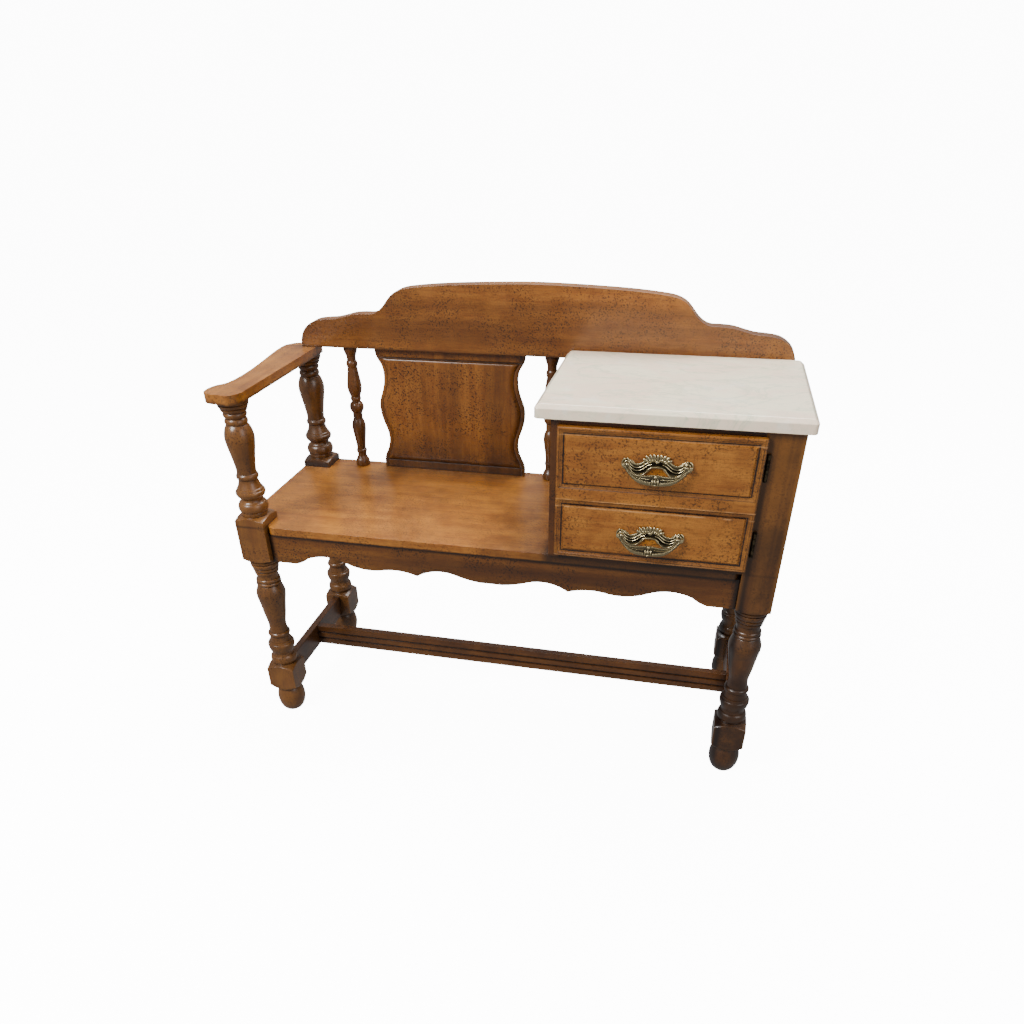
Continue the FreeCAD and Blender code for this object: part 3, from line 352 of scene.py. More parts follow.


# STRETCHERS
# Plain rails of maple between the lower blocks, and a reeded one that ties them together lengthwise.
# They are tenoned in and stained dark, as the whole underframe is, and darkened further as painted shade.

def softened(node, body, material, width=1.2, segments=2):
    """A copy of a CAD node with its sharp edges rounded, as sanding leaves them."""
    bm = bmesh.new()
    bm.from_mesh(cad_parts[node].data)
    bmesh.ops.remove_doubles(bm, verts=bm.verts, dist=0.00001)
    bmesh.ops.dissolve_limit(bm, angle_limit=math.radians(1.0), verts=bm.verts, edges=bm.edges)
    sharp = [edge for edge in bm.edges if len(edge.link_faces) == 2 and edge.is_convex
             and edge.calc_face_angle() > math.radians(30)]
    bmesh.ops.bevel(bm, geom=sharp, offset=width * MM, offset_type="OFFSET", affect="EDGES", segments=segments,
                    profile=0.5, material=-1, clamp_overlap=True)
    mesh_piece(node + "_eased", bm, body, material, [node])


SIDE_RAIL_ENDS, APRON_END = (-105.6, 139.4), 421.5
# darker at their ends by the legs: painted shade
dark_rail_y = maple("stretcher_maple_across", "y", darker=0.80, specks=0.7, seed=4.7, deep=0.50,
                    shade=[("y", end, 14, 0.8) for end in SIDE_RAIL_ENDS])
for node in ("left_side_stretcher", "right_side_stretcher"):
    softened(node, "frame", dark_rail_y)
# darker in its two reeds and at its ends: glaze with painted shade
dark_rail_x = maple("stretcher_maple_along", "x", darker=0.70, specks=0.7, seed=3.1, deep=0.36,
                    shade=[("z", 85.6, 3.4, 1.4), ("z", 100.3, 3.4, 1.4), ("x", -442, 25, 0.8),
                           ("x", 442, 25, 0.8)])
softened("center_stretcher", "frame", dark_rail_x, width=0.9)


# APRONS
# Four rails under the seat, tenoned into the upper blocks; the front one is sawn to a scalloped edge.
# Glue blocks in the corners hold them square and carry the seat.

# darker by the legs and under the seat's edge: painted shade
apron_maple = maple("apron_maple", "x", darker=0.36, specks=1.0, seed=1.7, blotch=0.9, deep=0.36,
                    shade=[("x", -APRON_END, 13, 1.3), ("x", APRON_END, 13, 1.3), ("z", SEAT_UNDER, 8, 1.0)])
end_apron_maple = maple("end_apron_maple", "y", darker=0.75, specks=0.7, seed=2.3, deep=0.2,
                        shade=[("y", end, 10, 1.0) for end in SIDE_RAIL_ENDS] + [("z", SEAT_UNDER, 8, 0.9)])
softened("front_apron", "frame", apron_maple, width=1.0)
softened("back_apron", "frame", apron_maple)
for node in ("left_apron", "right_apron"):
    softened(node, "frame", end_apron_maple)
block_wood = maple("corner_block_wood", "x", darker=0.25, specks=0.1, seed=7.7)
for corner in ("front_left", "back_left", "front_right", "back_right"):
    softened(corner + "_corner_block", "frame", block_wood)


# SEAT
# One wide board, glued up from maple, notched round the four blocks, with a rounded front edge.
# It is the lightest and glossiest surface of the bench, worn by sitting.

def board(name, line, low, high, axis, body, material, stands_for, eased, segments=4):
    """Saw a board to an outline, from low to high along an axis, and round its edges over.

    An axis of y takes the outline's pairs as x and z, an axis of z as x and y; sizes in millimetres.
    """
    bm = bmesh.new()
    points = [(x, low * MM, y) if axis == "y" else (x, y, low * MM) for x, y in line]
    face = bm.faces.new([bm.verts.new(point) for point in points])
    bmesh.ops.remove_doubles(bm, verts=bm.verts, dist=0.0001)
    face = bm.faces[:][0]
    grown = bmesh.ops.extrude_face_region(bm, geom=[face])["geom"]
    moved = [item for item in grown if isinstance(item, bmesh.types.BMVert)]
    deep = (high - low) * MM
    bmesh.ops.translate(bm, verts=moved, vec=(0, deep, 0) if axis == "y" else (0, 0, deep))
    bm.faces.ensure_lookup_table()
    bmesh.ops.recalc_face_normals(bm, faces=bm.faces)
    rim = [edge for edge in bm.edges if edge.calc_face_angle(0.0) > math.radians(60)
           and any(len(face.verts) > 8 for face in edge.link_faces)]
    bmesh.ops.bevel(bm, geom=rim, offset=eased * MM, offset_type="OFFSET", affect="EDGES", segments=segments,
                    profile=0.5, material=-1, clamp_overlap=True)
    mesh_piece(name, bm, body, material, stands_for, crease=50.0)


SEAT_RUNS = [[(-407.4, -156.6), (-250, -156.6), (0, -156.6), (250, -156.6), (407.4, -156.6)],
             [(407.4, -156.6), (413.6, -154.8), (418.6, -150.2), (421.2, -143.0)],
             [(421.3, -142.0), (421.3, -105.5)], [(421.4, -105.4), (478.5, -105.4)],
             [(478.5, -105.3), (478.5, 139.2)],
             [(478.4, 139.3), (421.4, 139.3)], [(421.3, 139.4), (421.3, 194.4)],
             [(421.2, 194.4), (0, 194.4), (-421.2, 194.4)],
             [(-421.3, 194.4), (-421.3, 139.4)], [(-421.4, 139.3), (-478.4, 139.3)],
             [(-478.5, 139.2), (-478.5, -105.3)], [(-478.5, -105.4), (-421.4, -105.4)],
             [(-421.3, -105.5), (-421.3, -142.0)], [(-421.2, -143.0), (-418.6, -150.2), (-413.6, -154.8)]]


def painted_cabinet_shade(finish):
    """The seat's board is darkened with painted shade beside and below the cabinet, and towards it."""
    x = finish.along("x")
    dark = x.between(98 * MM, 108 * MM) * 0.42 + x.between(-60 * MM, 104 * MM) * 0.40
    return dark.math("MULTIPLY", 1.0, clamp=True)


# painted shade towards the back, beside the cabinet and along the underside
seat_maple = maple("seat_maple", "x", darker=0.0, specks=0.6, seed=0.4, blotch=0.45, lines=painted_cabinet_shade,
                   shade=[("y", 196, 60, 0.35), ("x", 101, 16, 0.9), ("z", SEAT_UNDER, 5, 1.3)])
board("seat_of_wide_maple", outline(*SEAT_RUNS, count=3), SEAT_UNDER, SEAT_TOP, "z", "frame", seat_maple,
      ["seat_board"], eased=3.6)


# ARM
# A shaped armrest of thick maple, doweled on the two left legs, wide at the hand and drawn in behind.
# Its edges are rounded over all round.

ARM_UNDER = 660.0
ARM_RUNS = [[(-420.4, 181.0), (-420.2, 100.0), (-420.2, -60.0), (-420.4, -140.0), (-421.4, -151.0),
             (-425.0, -160.0), (-430.6, -168.6), (-435.6, -172.6), (-442.0, -172.4), (-455.0, -169.4),
             (-467.0, -168.8), (-478.0, -165.6), (-486.0, -158.0), (-489.1, -146.6), (-489.0, -132.6),
             (-484.4, -117.6), (-475.6, -105.6), (-472.0, -92.6), (-470.2, -61.6), (-472.0, -19.6),
             (-477.0, 28.4), (-484.6, 86.4), (-488.0, 118.4), (-489.2, 140.4), (-488.2, 158.4),
             (-482.6, 168.4), (-475.6, 176.4), (-466.0, 181.2)]]
# darker along its underside and where it meets the crest: painted shade
arm_maple = maple("arm_maple", "y", darker=0.10, specks=0.6, seed=5.5, blotch=0.35,
                  shade=[("z", ARM_UNDER, 6, 0.8), ("y", 155.0, 8, 0.5)])
board("shaped_arm", outline(*ARM_RUNS, count=4), ARM_UNDER, CREST_UNDER, "z", "frame", arm_maple,
      ["arm_rest"], eased=4.6, segments=5)


# BACK
# The crest rail is one board sawn to a waved outline; below it a waisted splat with a raised field
# stands in grooves, between two turned spindles.

# The waved edge's right half from its end to the middle, as (distance from the middle, height)
CREST_HALF = [(463, 688), (457, 704), (446, 716), (430, 724.4), (410, 727.6), (388, 729.5), (368, 734),
              (350, 738.4), (330, 740), (313, 740.4), (301, 744.5), (290, 753), (282, 762), (273, 772),
              (262, 780), (245, 786), (215, 790), (170, 793.8), (110, 796.8), (50, 798.8), (0, 799.6)]
CREST_MIDDLE = 13.0
right_run = [(CREST_MIDDLE + dx, z) for dx, z in CREST_HALF]
left_run = [(CREST_MIDDLE - dx, z) for dx, z in reversed(CREST_HALF[:-1])]
CREST_RUNS = [[(-449.6, 676.6), (0.0, 676.6), (475.6, 676.6)],
              [(476.0, 677.0), *right_run, *left_run, (-450.0, 677.0)]]
# darker along its lower edge and at its ends: painted shade
crest_maple = maple("crest_maple", "x", darker=0.18, specks=0.8, seed=6.1, blotch=0.68, deep=0.07,
                    shade=[("z", CREST_UNDER, 6, 0.7), ("x", -450, 9, 0.6), ("x", 476, 9, 0.6)])
board("waved_crest", outline(*CREST_RUNS, count=4), CREST_FRONT, CREST_BACK, "y", "frame", crest_maple,
      ["crest_rail"], eased=3.4)
softened("crest_dowel", "frame", block_wood, width=0.8)

# Up the splat's edge, as (height, half the width)
SPLAT_WIDTHS = [(434.0, 149.5), (438.0, 150.0), (451.0, 150.0), (462.0, 147.0), (474.0, 141.0), (486.0, 137.2),
                (498.0, 136.0), (512.0, 138.0), (522.0, 141.5), (532.0, 145.0), (546.0, 148.6), (560.0, 150.0),
                (570.0, 149.2), (579.0, 147.0), (589.0, 143.0), (600.0, 139.4), (612.0, 136.8), (625.0, 136.0),
                (635.0, 137.0), (644.0, 139.4), (654.0, 145.6), (663.0, 149.6), (673.0, 151.0), (676.5, 151.0)]
SPLAT_EDGE = [tuple(point) for point in curve([Vector(pair) for pair in SPLAT_WIDTHS], 4)]
SPLAT_X, FIELD_FACE, SPLAT_BACK = -156.0, 165.9, 177.9
# Across the splat, from its edge inwards: distance in, and how far behind the raised field the face is
SIDE_STEPS = [(0.0, 8.0), (0.4, 5.2), (1.8, 4.1), (4.6, 4.0), (6.4, 4.1), (7.4, 4.6), (8.2, 4.4), (10.0, 3.0),
              (13.0, 1.3), (16.5, 0.3), (20.0, 0.0)]


def half_width(height):
    """Half the splat's width at a height, in millimetres."""
    for (z1, half1), (z2, half2) in zip(SPLAT_EDGE, SPLAT_EDGE[1:]):
        if height <= z2:
            return half1 + (half2 - half1) * (height - z1) / (z2 - z1)
    return SPLAT_EDGE[-1][1]


LOWER_LIP, UPPER_LIP, LIP_DEPTH = 451.6, 658.8, 3.9
# Rows of points up the splat, close together at its two lips
SPLAT_ROWS = ([434.0, 436.0, 440.0, 445.0, 449.0, 450.2, 450.9, 451.6, 452.2, 453.0, 454.4, 456.6, 460.0, 463.0]
              + [466.0 + 4.6 * step for step in range(39)]
              + [644.0, 647.0, 650.0, 653.2, 655.6, 657.2, 658.2, 658.8, 659.5, 660.2, 661.4, 665.0, 670.0,
                 676.5])


def splat_face():
    """Shape a fine grid into the carved face: two plain lips, and between them a raised field."""
    bm = bmesh.new()
    last = 2 * len(SIDE_STEPS) + 9
    bmesh.ops.create_grid(bm, x_segments=last, y_segments=len(SPLAT_ROWS) - 1, size=1.0)
    for vert in bm.verts:
        column = round((vert.co.x + 1) / 2 * last)
        z = SPLAT_ROWS[round((vert.co.y + 1) / 2 * (len(SPLAT_ROWS) - 1))]
        half = half_width(z)
        step = min(column, last - column)
        inward, behind = SIDE_STEPS[min(step, len(SIDE_STEPS) - 1)]
        x = half - inward
        if step >= len(SIDE_STEPS):
            x *= abs(column - last / 2) / (last / 2 - len(SIDE_STEPS) + 1)
        past = min(z - LOWER_LIP, UPPER_LIP - z)
        if past < 1.0:
            carved = LIP_DEPTH + 0.6 if abs(past) < 0.8 else LIP_DEPTH
        else:
            slope = 3.0 if z > 550 else 9.0
            carved = LIP_DEPTH * (1 - math.sin(min((past - 1.0) / slope, 1.0) * math.pi / 2))
        if step > 1:
            behind = max(behind, carved)
        vert.co = Vector((SPLAT_X + math.copysign(x, column - last / 2), FIELD_FACE + behind, z)) * MM
    return bm


def splat_glaze_and_shade_lines(finish):
    """Dark lines along both lips, at the foot and under the crest: glaze with painted shade, ragged where it was
    wiped.
    """
    z = finish.along("z")
    ragged = finish.noise(60.0, 3.0, 0.6) * 0.9 + 0.45
    total = (z.near(LOWER_LIP * MM, 3.0 * MM) + z.near(657.6 * MM, 4.6 * MM) + z.near(435.0 * MM, 6 * MM)
             + z.near(675.0 * MM, 7 * MM) * 0.5)
    return (total * ragged).math("MULTIPLY", 0.85, clamp=True)


# darker towards the foot and along the right edge: painted shade
splat_maple = maple("splat_maple", "z", darker=0.36, specks=1.0, seed=8.2, blotch=0.9, turned=True, deep=0.16,
                    lines=splat_glaze_and_shade_lines,
                    shade=[("z", 426, 110, 0.75), ("x", -2, 34, 1.1), ("x", -306, 14, 0.6), ("x", -60, 40, 0.25)])
bm = splat_face()
boundary = [edge for edge in bm.edges if edge.is_boundary]
grown = bmesh.ops.extrude_edge_only(bm, edges=boundary)["geom"]
back_rim = [item for item in grown if isinstance(item, bmesh.types.BMVert)]
for vert in back_rim:
    vert.co.y = SPLAT_BACK * MM
bmesh.ops.contextual_create(bm, geom=[edge for edge in bm.edges if edge.is_boundary])
mesh_piece("carved_splat", bm, "frame", splat_maple, ["back_splat"], crease=55.0)

SPINDLE = [
    [(0.01, 425.2), (5.3, 425.2)], [(5.4, 425.4), (5.4, 434.0)],
    [(13.4, 434.0), (14.4, 436.0), (14.6, 441), (13.6, 446), (11.4, 450), (9.6, 454)],
    [(9.2, 455), (9.2, 461)], [(10.2, 462), (11.1, 465.4), (10.2, 468.8)],
    [(9.2, 469.4), (9.4, 475), (10.6, 487), (13.0, 504), (14.1, 516), (13.0, 525), (10.2, 532)],
    [(9.6, 533), (9.7, 541), (10.0, 546.6)],
    [(10.8, 547.2), (13.2, 551), (14.4, 557), (13.2, 563), (10.2, 566.8)],
    [(9.0, 567.4), (9.0, 570)], [(10.0, 570.6), (10.8, 574), (10.0, 577.4)],
    [(9.6, 578), (11.6, 583.4), (13.8, 590.6), (14.6, 598), (13.8, 607), (11.8, 621), (9.8, 635)],
    [(9.8, 636), (11.0, 640), (11.0, 645), (9.4, 648.6)],
    [(9.0, 649), (9.2, 657.4)], [(9.8, 658), (11.6, 663.4), (13.4, 669), (13.8, 673.4), (13.4, 676.6)],
    [(5.4, 676.6), (5.4, 685.4)], [(5.3, 685.5), (0.01, 685.5)]]
for label in ("left", "right"):
    low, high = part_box(label + "_back_spindle")
    x, y = (low[0] + high[0]) / 2, (low[1] + high[1]) / 2
    bm = bmesh.new()
    spun(bm, outline(*SPINDLE, count=4), 40, (x, y))
    spindle_maple = maple(label + "_spindle_maple", "z", darker=0.60, seed=x, turned=True, deep=0.5)
    mesh_piece(label + "_turned_spindle", bm, "frame", spindle_maple, [label + "_back_spindle"])


# CABINET
# Sides, rails and a thin back stand on the right end of the seat, between the tall right posts.

# darker under the marble and by the seat: painted shadow
cabinet_side_maple = maple("cabinet_side_maple", "z", darker=0.80, specks=0.8, seed=9.3, deep=0.35,
                           shade=[("z", 671.5, 14, 0.9), ("z", 434, 8, 0.9)])
# the rails nearly black: painted shadow under the marble's overhang and under the door
rail_maple = maple("cabinet_rail_maple", "x", darker=0.85, specks=0.6, seed=10.4, deep=0.7,
                   shade=[("z", 671.5, 6, 1.0), ("z", 449, 5, 1.0)])
for node in ("cabinet_left_side", "cabinet_right_side"):
    softened(node, "frame", cabinet_side_maple, width=0.8)
for node in ("cabinet_top_rail", "cabinet_base_rail"):
    softened(node, "frame", rail_maple, width=0.8)
softened("cabinet_back", "frame", block_wood, width=0.5)
softened("cabinet_back_rail", "frame", block_wood, width=0.8)


# MARBLE TOP
# A polished slab of cream marble with faint grey-green veins and rosy clouds, loose on the cabinet.

def marble():
    """Cream stone with clouds of pale rose, soft grey-green veins and paler patches, polished."""
    finish = Finish("cream_marble")
    clouds = finish.noise(9.0, 4.0, 0.6, finish.moved(scale=(1.0, 1.6, 1.0)), 0.8)
    stone = finish.mix(clouds.between(0.38, 0.60), (1.0, 0.90, 0.66), (1.0, 0.80, 0.60))
    bent = finish.noise(5.0, 5.0, 0.62, finish.moved((3.0, 1.0, 0.0), (1.0, 1.9, 1.0)), 1.6)
    veins = 1 - (bent - 0.5).size().between(0.0, 0.035)
    fine = finish.noise(16.0, 5.0, 0.65, finish.moved((7.0, 2.0, 0.0), (1.0, 1.7, 1.0)), 2.0)
    veins = veins * 0.42 + (1 - (fine - 0.5).size().between(0.0, 0.03)) * 0.26
    stone = finish.mix(veins * 1.15, stone, (0.66, 0.66, 0.46))
    pale = finish.noise(24.0, 3.0, 0.6).between(0.55, 0.75)
    stone = finish.mix(pale * 0.5, stone, (1.0, 0.95, 0.82))
    polish = finish.noise(50.0) * 0.08 + 0.13
    finish.set(Base_Color=stone, Roughness=polish, Coat_Weight=0.25, Coat_Roughness=0.06)
    finish.bump(clouds, 0.0001)
    return finish.material


softened("marble_top", "frame", marble(), width=1.2, segments=3)


# DOOR
# One lipped board, carved to look like two drawers with a strip between them: round each raised field
# runs a cove and, beside the field, a narrow groove that has kept the dark glaze, deepened with painted shade.

DOOR_LEFT, DOOR_RIGHT, DOOR_LOW, DOOR_HIGH = 115.0, 425.5, 443.0, 661.5
LIP_FACE, LIP_BACK, CORE_BACK = -173.9, -164.4, -156.6
# Steps from a drawer's edge inwards, as (distance in, rise): a flat, the cove, the groove and the field
CARVING = [(3.2, 0.0), (0.7, -0.7), (2.2, -1.2), (3.0, -0.9), (1.8, 0.0), (0.7, 1.9), (0.9, 1.0), (1.4, 0.5)]
DRAWERS = {"upper": (559.4, DOOR_HIGH), "lower": (DOOR_LOW, 546.8)}


def drawer_lines(finish):
    """Glaze with painted shade in the groove round each field, thinner in the crease of the cove, worn away in
    places.
    """
    x, z = finish.along("x"), finish.along("z")
    total = 0.0
    for low, high in DRAWERS.values():
        to_side = (x - (DOOR_LEFT + DOOR_RIGHT) / 2 * MM).size() - (DOOR_RIGHT - DOOR_LEFT) / 2 * MM
        to_end = (z - (low + high) / 2 * MM).size() - (high - low) / 2 * MM
        inward = to_side.math("MAXIMUM", to_end) * -1.0
        total = total + inward.near(10.9 * MM, 2.2 * MM) * 1.4 + inward.near(4.2 * MM, 1.4 * MM) * 0.8
        total = total + inward.near(7.5 * MM, 4.2 * MM) * 0.38
    ragged = finish.noise(45.0, 3.0, 0.6) * 1.5 + 0.15
    return (total * ragged).math("MULTIPLY", 0.9, clamp=True)


def painted_arris_highlights(finish):
    """Painted highlights in pale wood colour along the arrises of the fields and of the strip."""
    z = finish.along("z")
    ragged = finish.noise(38.0, 3.0, 0.6).between(0.30, 0.62)
    arrises = (z.near(532.6 * MM, 2.0 * MM) + z.near(544.4 * MM, 1.6 * MM) * 0.8
               + z.near(649.0 * MM, 1.8 * MM) * 0.8 + z.near(446.0 * MM, 1.6 * MM) * 0.5)
    return arrises * ragged * 0.6


# darker at its bottom edge and at its sides: painted shade of the gaps
door_maple = maple("door_maple", "x", darker=0.0, specks=0.8, seed=11.6, blotch=0.26, lines=drawer_lines,
                   worn=painted_arris_highlights,
                   shade=[("z", DOOR_LOW, 5, 0.8), ("x", DOOR_RIGHT, 5, 0.9), ("x", DOOR_LEFT, 4, 0.6)])
bm = bmesh.new()
size = Vector((DOOR_RIGHT - DOOR_LEFT, LIP_BACK - LIP_FACE, DOOR_HIGH - DOOR_LOW)) * MM
middle = Vector((DOOR_RIGHT + DOOR_LEFT, LIP_BACK + LIP_FACE, DOOR_HIGH + DOOR_LOW)) * MM / 2
bmesh.ops.create_cube(bm, size=1.0, matrix=Matrix.Translation(middle) @ Matrix.Diagonal((*size, 1.0)))
lip = [edge for edge in bm.edges if all(vert.co.y < middle.y for vert in edge.verts)]
bmesh.ops.bevel(bm, geom=lip, offset=2.6 * MM, offset_type="OFFSET", affect="EDGES", segments=4, profile=0.5,
                material=-1, clamp_overlap=True)
for height in (DRAWERS["lower"][1], DRAWERS["upper"][0]):
    bmesh.ops.bisect_plane(bm, geom=bm.verts[:] + bm.edges[:] + bm.faces[:], plane_co=(0, 0, height * MM),
                           plane_no=(0, 0, 1))
for low, high in DRAWERS.values():
    front = [face for face in bm.faces if face.normal.y < -0.99 and face.calc_area() > 0.005
             and face.calc_center_median().y < (LIP_FACE + 0.1) * MM
             and low * MM < face.calc_center_median().z < high * MM]
    for step, depth in CARVING:
        bmesh.ops.inset_region(bm, faces=front, thickness=step * MM, depth=depth * MM, use_even_offset=True,
                               use_boundary=True)
# the part that stands in the cabinet's opening, 0.6 mm into the lip
core_low, core_high = Vector((123.0, LIP_BACK - 0.6, 451.0)) * MM, Vector((419.0, CORE_BACK, 653.5)) * MM
bmesh.ops.create_cube(bm, size=1.0, matrix=Matrix.Translation((core_low + core_high) / 2)
                      @ Matrix.Diagonal((*(core_high - core_low), 1.0)))
mesh_piece("carved_door", bm, "door", door_maple, ["cabinet_door"], crease=28.0)


# PULLS AND HINGES
# Cast and antiqued brass. Each pull is a pierced plate with scrolled ends and a shell in the middle,
# two posts, and a leafed bail that swings on pins in them. The hinges are wrapped, with loose pins.

def brass(name, bright=(0.56, 0.465, 0.265), dark=(0.016, 0.012, 0.008), relief=True):
    """Antique brass, nearly black in the hollows of the casting and bright on what stands out: rubbed brass with
    a painted highlight.
    """
    finish = Finish(name)
    patches = finish.noise(150.0, 4.0, 0.65)
    rubbed = patches.between(0.38, 0.66) * 0.75
    if relief:
        bend = finish.node("ShaderNodeNewGeometry", output="Pointiness")
        rubbed = bend.between(0.505, 0.600) * 1.05 + patches.between(0.50, 0.70) * 0.10
        rubbed = rubbed.math("MULTIPLY", 1.0, clamp=True)
    metal = finish.mix(rubbed, dark, bright)
    finish.set(Base_Color=metal, Metallic=0.92, Roughness=0.42 - rubbed * 0.20)
    finish.bump(finish.noise(500.0, 2.0), 0.00008)
    return finish.material


def limb(bm, line, around=10):
    """Draw a rounded bar through places, each (x, y, z, half width, half depth) in millimetres."""
    rings = []
    places = [Vector(item[:3]) for item in line]
    for index, (place, item) in enumerate(zip(places, line)):
        way = (places[min(index + 1, len(places) - 1)] - places[max(index - 1, 0)]).normalized()
        side = Vector((0, -1, 0) if abs(way.y) < 0.9 else (0, 0, 1)).cross(way).normalized()
        deep = way.cross(side)
        turn = Matrix((side, deep, way)).transposed().to_4x4()
        matrix = Matrix.Translation(place * MM) @ turn @ Matrix.Diagonal((item[3] * MM, item[4] * MM, 1.0, 1.0))
        ring = bmesh.ops.create_circle(bm, segments=around, radius=1.0, matrix=matrix)["verts"]
        rings.append(list({edge for vert in ring for edge in vert.link_edges}))
    for before, after in zip(rings, rings[1:]):
        bmesh.ops.bridge_loops(bm, edges=before + after)
    for ring in (rings[0], rings[-1]):
        bmesh.ops.edgeloop_fill(bm, edges=ring)


def drop(bm, place, size, tilt=0.0, segments=10):
    """A bead or a leaf's lobe: a ball stretched to half sizes and tilted in the face of the plate."""
    matrix = (Matrix.Translation(Vector(place) * MM) @ Matrix.Rotation(math.radians(tilt), 4, "Y")
              @ Matrix.Diagonal((*(Vector(size) * MM), 1.0)))
    bmesh.ops.create_uvsphere(bm, u_segments=segments, v_segments=max(segments - 3, 6), radius=1.0, matrix=matrix)


def both(points, sign):
    """The same places on the right or the left half."""
    return [(sign * point[0], *point[1:]) for point in points]


def sway(points, count):
    """Smooth places with their half sizes, count steps from each to the next."""
    return curve([Vector(point) for point in points], count)


# Leaves of the shell on the crown, as (x, z, tilt in degrees, half length)
SHELL = ((4.8, 12.2, 8, 5.4), (9.8, 12.0, 22, 5.2), (14.6, 10.8, 38, 5.0), (18.0, 7.6, 66, 4.2))


def plate_work(bm):
    """The cast plate about its middle: a pierced sheet edged and ridged with bars, scrolls and a shell."""
    upper_edge = [(0, 4.6, 9.0), (8, 4.6, 9.0), (14, 4.6, 8.0), (18.5, 4.7, 5.6), (24, 4.8, 1.6),
                  (31, 4.8, -0.2), (37, 4.8, 1.8), (42, 4.6, 6.2), (46, 4.4, 8.6)]
    lower_edge = [(0, 4.8, -2.8), (8, 4.8, -3.8), (13, 4.8, -7.0), (16.5, 4.8, -12.0), (21, 4.8, -15.8),
                  (28, 4.8, -16.4), (35, 4.8, -13.6), (40, 4.8, -8.0), (44, 4.8, -3.0)]
    for sign in (-1, 1):
        sheet = [(sign * (top.x + low.x) / 2, 5.9, (top.z + low.z) / 2, max((top.z - low.z) / 2, 2.0), 1.1)
                 for top, low in zip(sway(upper_edge, 3), sway(lower_edge, 3))]
        limb(bm, sheet, 12)
        limb(bm, [(*point, 1.25, 1.6) for point in sway(both(upper_edge, sign), 4)], 8)
        limb(bm, [(*point, 1.15, 1.5) for point in sway(both(lower_edge, sign), 4)], 8)
        for share in (0.28, 0.56):
            between = [(top[0], 4.5, top[2] + share * (low[2] - top[2]))
                       for top, low in zip(upper_edge, lower_edge)]
            limb(bm, [(*point, 0.95, 1.4) for point in sway(both(between[1:8], sign), 4)], 8)
        for index, point in enumerate(sway(both(upper_edge[3:], sign), 5)):
            if index % 2 == 0:
                drop(bm, (point[0], point[1] - 0.4, point[2] + 0.9), (1.0, 1.2, 1.0), segments=8)
        # the scrolled end: a turn and a quarter about a button
        scroll = []
        for step in range(22):
            angle = math.radians(75 - step * 22)
            reach = 9.0 - step * 0.27
            scroll.append((sign * (46.0 + 0.82 * reach * math.cos(angle)), 4.9 - 0.05 * step,
                           reach * math.sin(angle), 1.5, 1.6))
        limb(bm, scroll, 8)
        drop(bm, (sign * 46.4, 5.9, 0.0), (7.6, 1.6, 8.6), segments=16)
        # leaves and a shell on the crown
        for x, z, angle, length in SHELL:
            drop(bm, (sign * x, 4.0, z), (2.5, 2.0, length), tilt=sign * angle)
            drop(bm, (sign * x * 0.72, 3.2, z * 0.66), (1.5, 1.5, length * 0.5), tilt=sign * angle)
        drop(bm, (sign * 12.6, 4.2, 4.6), (3.4, 1.5, 1.6), tilt=sign * 12)
    drop(bm, (0.0, 3.6, 12.2), (2.4, 2.2, 5.6))
    drop(bm, (0.0, 3.2, 5.6), (3.0, 1.8, 2.4))
    drop(bm, (0.0, 5.4, 5.0), (17.5, 1.5, 6.4), segments=18)


def bail_work(bm):
    """The bail about its pivots, hanging straight down: a flat bow with a ridge, a vein and a full
    keel on either half, a knot in the middle and a pin at either end.
    """
    bow = [(47.8, -0.0, -2.4, 2.3, 2.2), (45.2, -0.2, -6.0, 2.2, 2.1), (40.6, -0.2, -10.8, 2.6, 2.1),
           (34.0, 0.0, -15.8, 3.8, 2.2), (25.0, 0.0, -19.6, 5.8, 2.3), (15.0, 0.0, -21.0, 7.2, 2.4),
           (6.0, 0.0, -20.8, 8.0, 2.4), (0.0, 0.0, -20.6, 8.4, 2.4)]
    whole = bow + both(bow[-2::-1], -1)
    limb(bm, sway(whole, 4), 14)
    for sign in (-1, 1):
        ridge = [(43.6, -1.4, -6.4, 0.8, 1.3), (38.0, -1.7, -11.2, 1.0, 1.4), (30.0, -1.9, -14.6, 1.2, 1.6),
                 (19.0, -1.9, -15.6, 1.3, 1.7), (8.0, -1.9, -14.4, 1.2, 1.6), (2.0, -1.6, -13.4, 0.9, 1.4)]
        limb(bm, sway(both(ridge, sign), 4), 8)
        vein = [(34.0, -1.7, -15.8, 0.7, 1.3), (27.0, -1.8, -18.2, 0.9, 1.4), (18.0, -1.8, -19.4, 1.0, 1.5),
                (8.0, -1.8, -19.0, 0.8, 1.4)]
        limb(bm, sway(both(vein, sign), 4), 8)
        keel = [(44.0, -1.2, -8.6, 0.9, 1.3), (38.4, -1.4, -13.8, 1.3, 1.5), (32.0, -1.6, -19.0, 2.0, 1.9),
                (24.0, -1.6, -23.2, 2.9, 2.2), (14.0, -1.5, -25.3, 3.0, 2.2), (7.0, -1.3, -25.4, 2.2, 2.0)]
        limb(bm, sway(both(keel, sign), 4), 10)
        drop(bm, (sign * 4.4, -0.9, -23.2), (1.5, 2.6, 5.4), segments=12)
        limb(bm, [(sign * 48.1, 0, -0.2, 3.4, 3.4), (sign * 52.4, 0, -0.2, 3.2, 3.2)], 16)
    drop(bm, (0.0, -0.9, -22.8), (3.2, 2.7, 4.6), segments=16)
    drop(bm, (0.0, -1.2, -15.6), (2.6, 2.2, 3.2), segments=12)
    drop(bm, (0.0, -0.6, -28.0), (2.2, 1.8, 1.4), segments=10)


antique_brass = brass("antique_brass_cast")
# dark brass for the hinges and nuts, darkened as painted shade of the gap that the hinges sit in
plain_brass = brass("dark_brass_in_painted_shade", (0.12, 0.09, 0.05), (0.015, 0.011, 0.008), relief=False)
PULL_X, PIVOT_Y, POST_X, HANGS = 270.25, -181.6, 44.0, math.radians(-25.0)
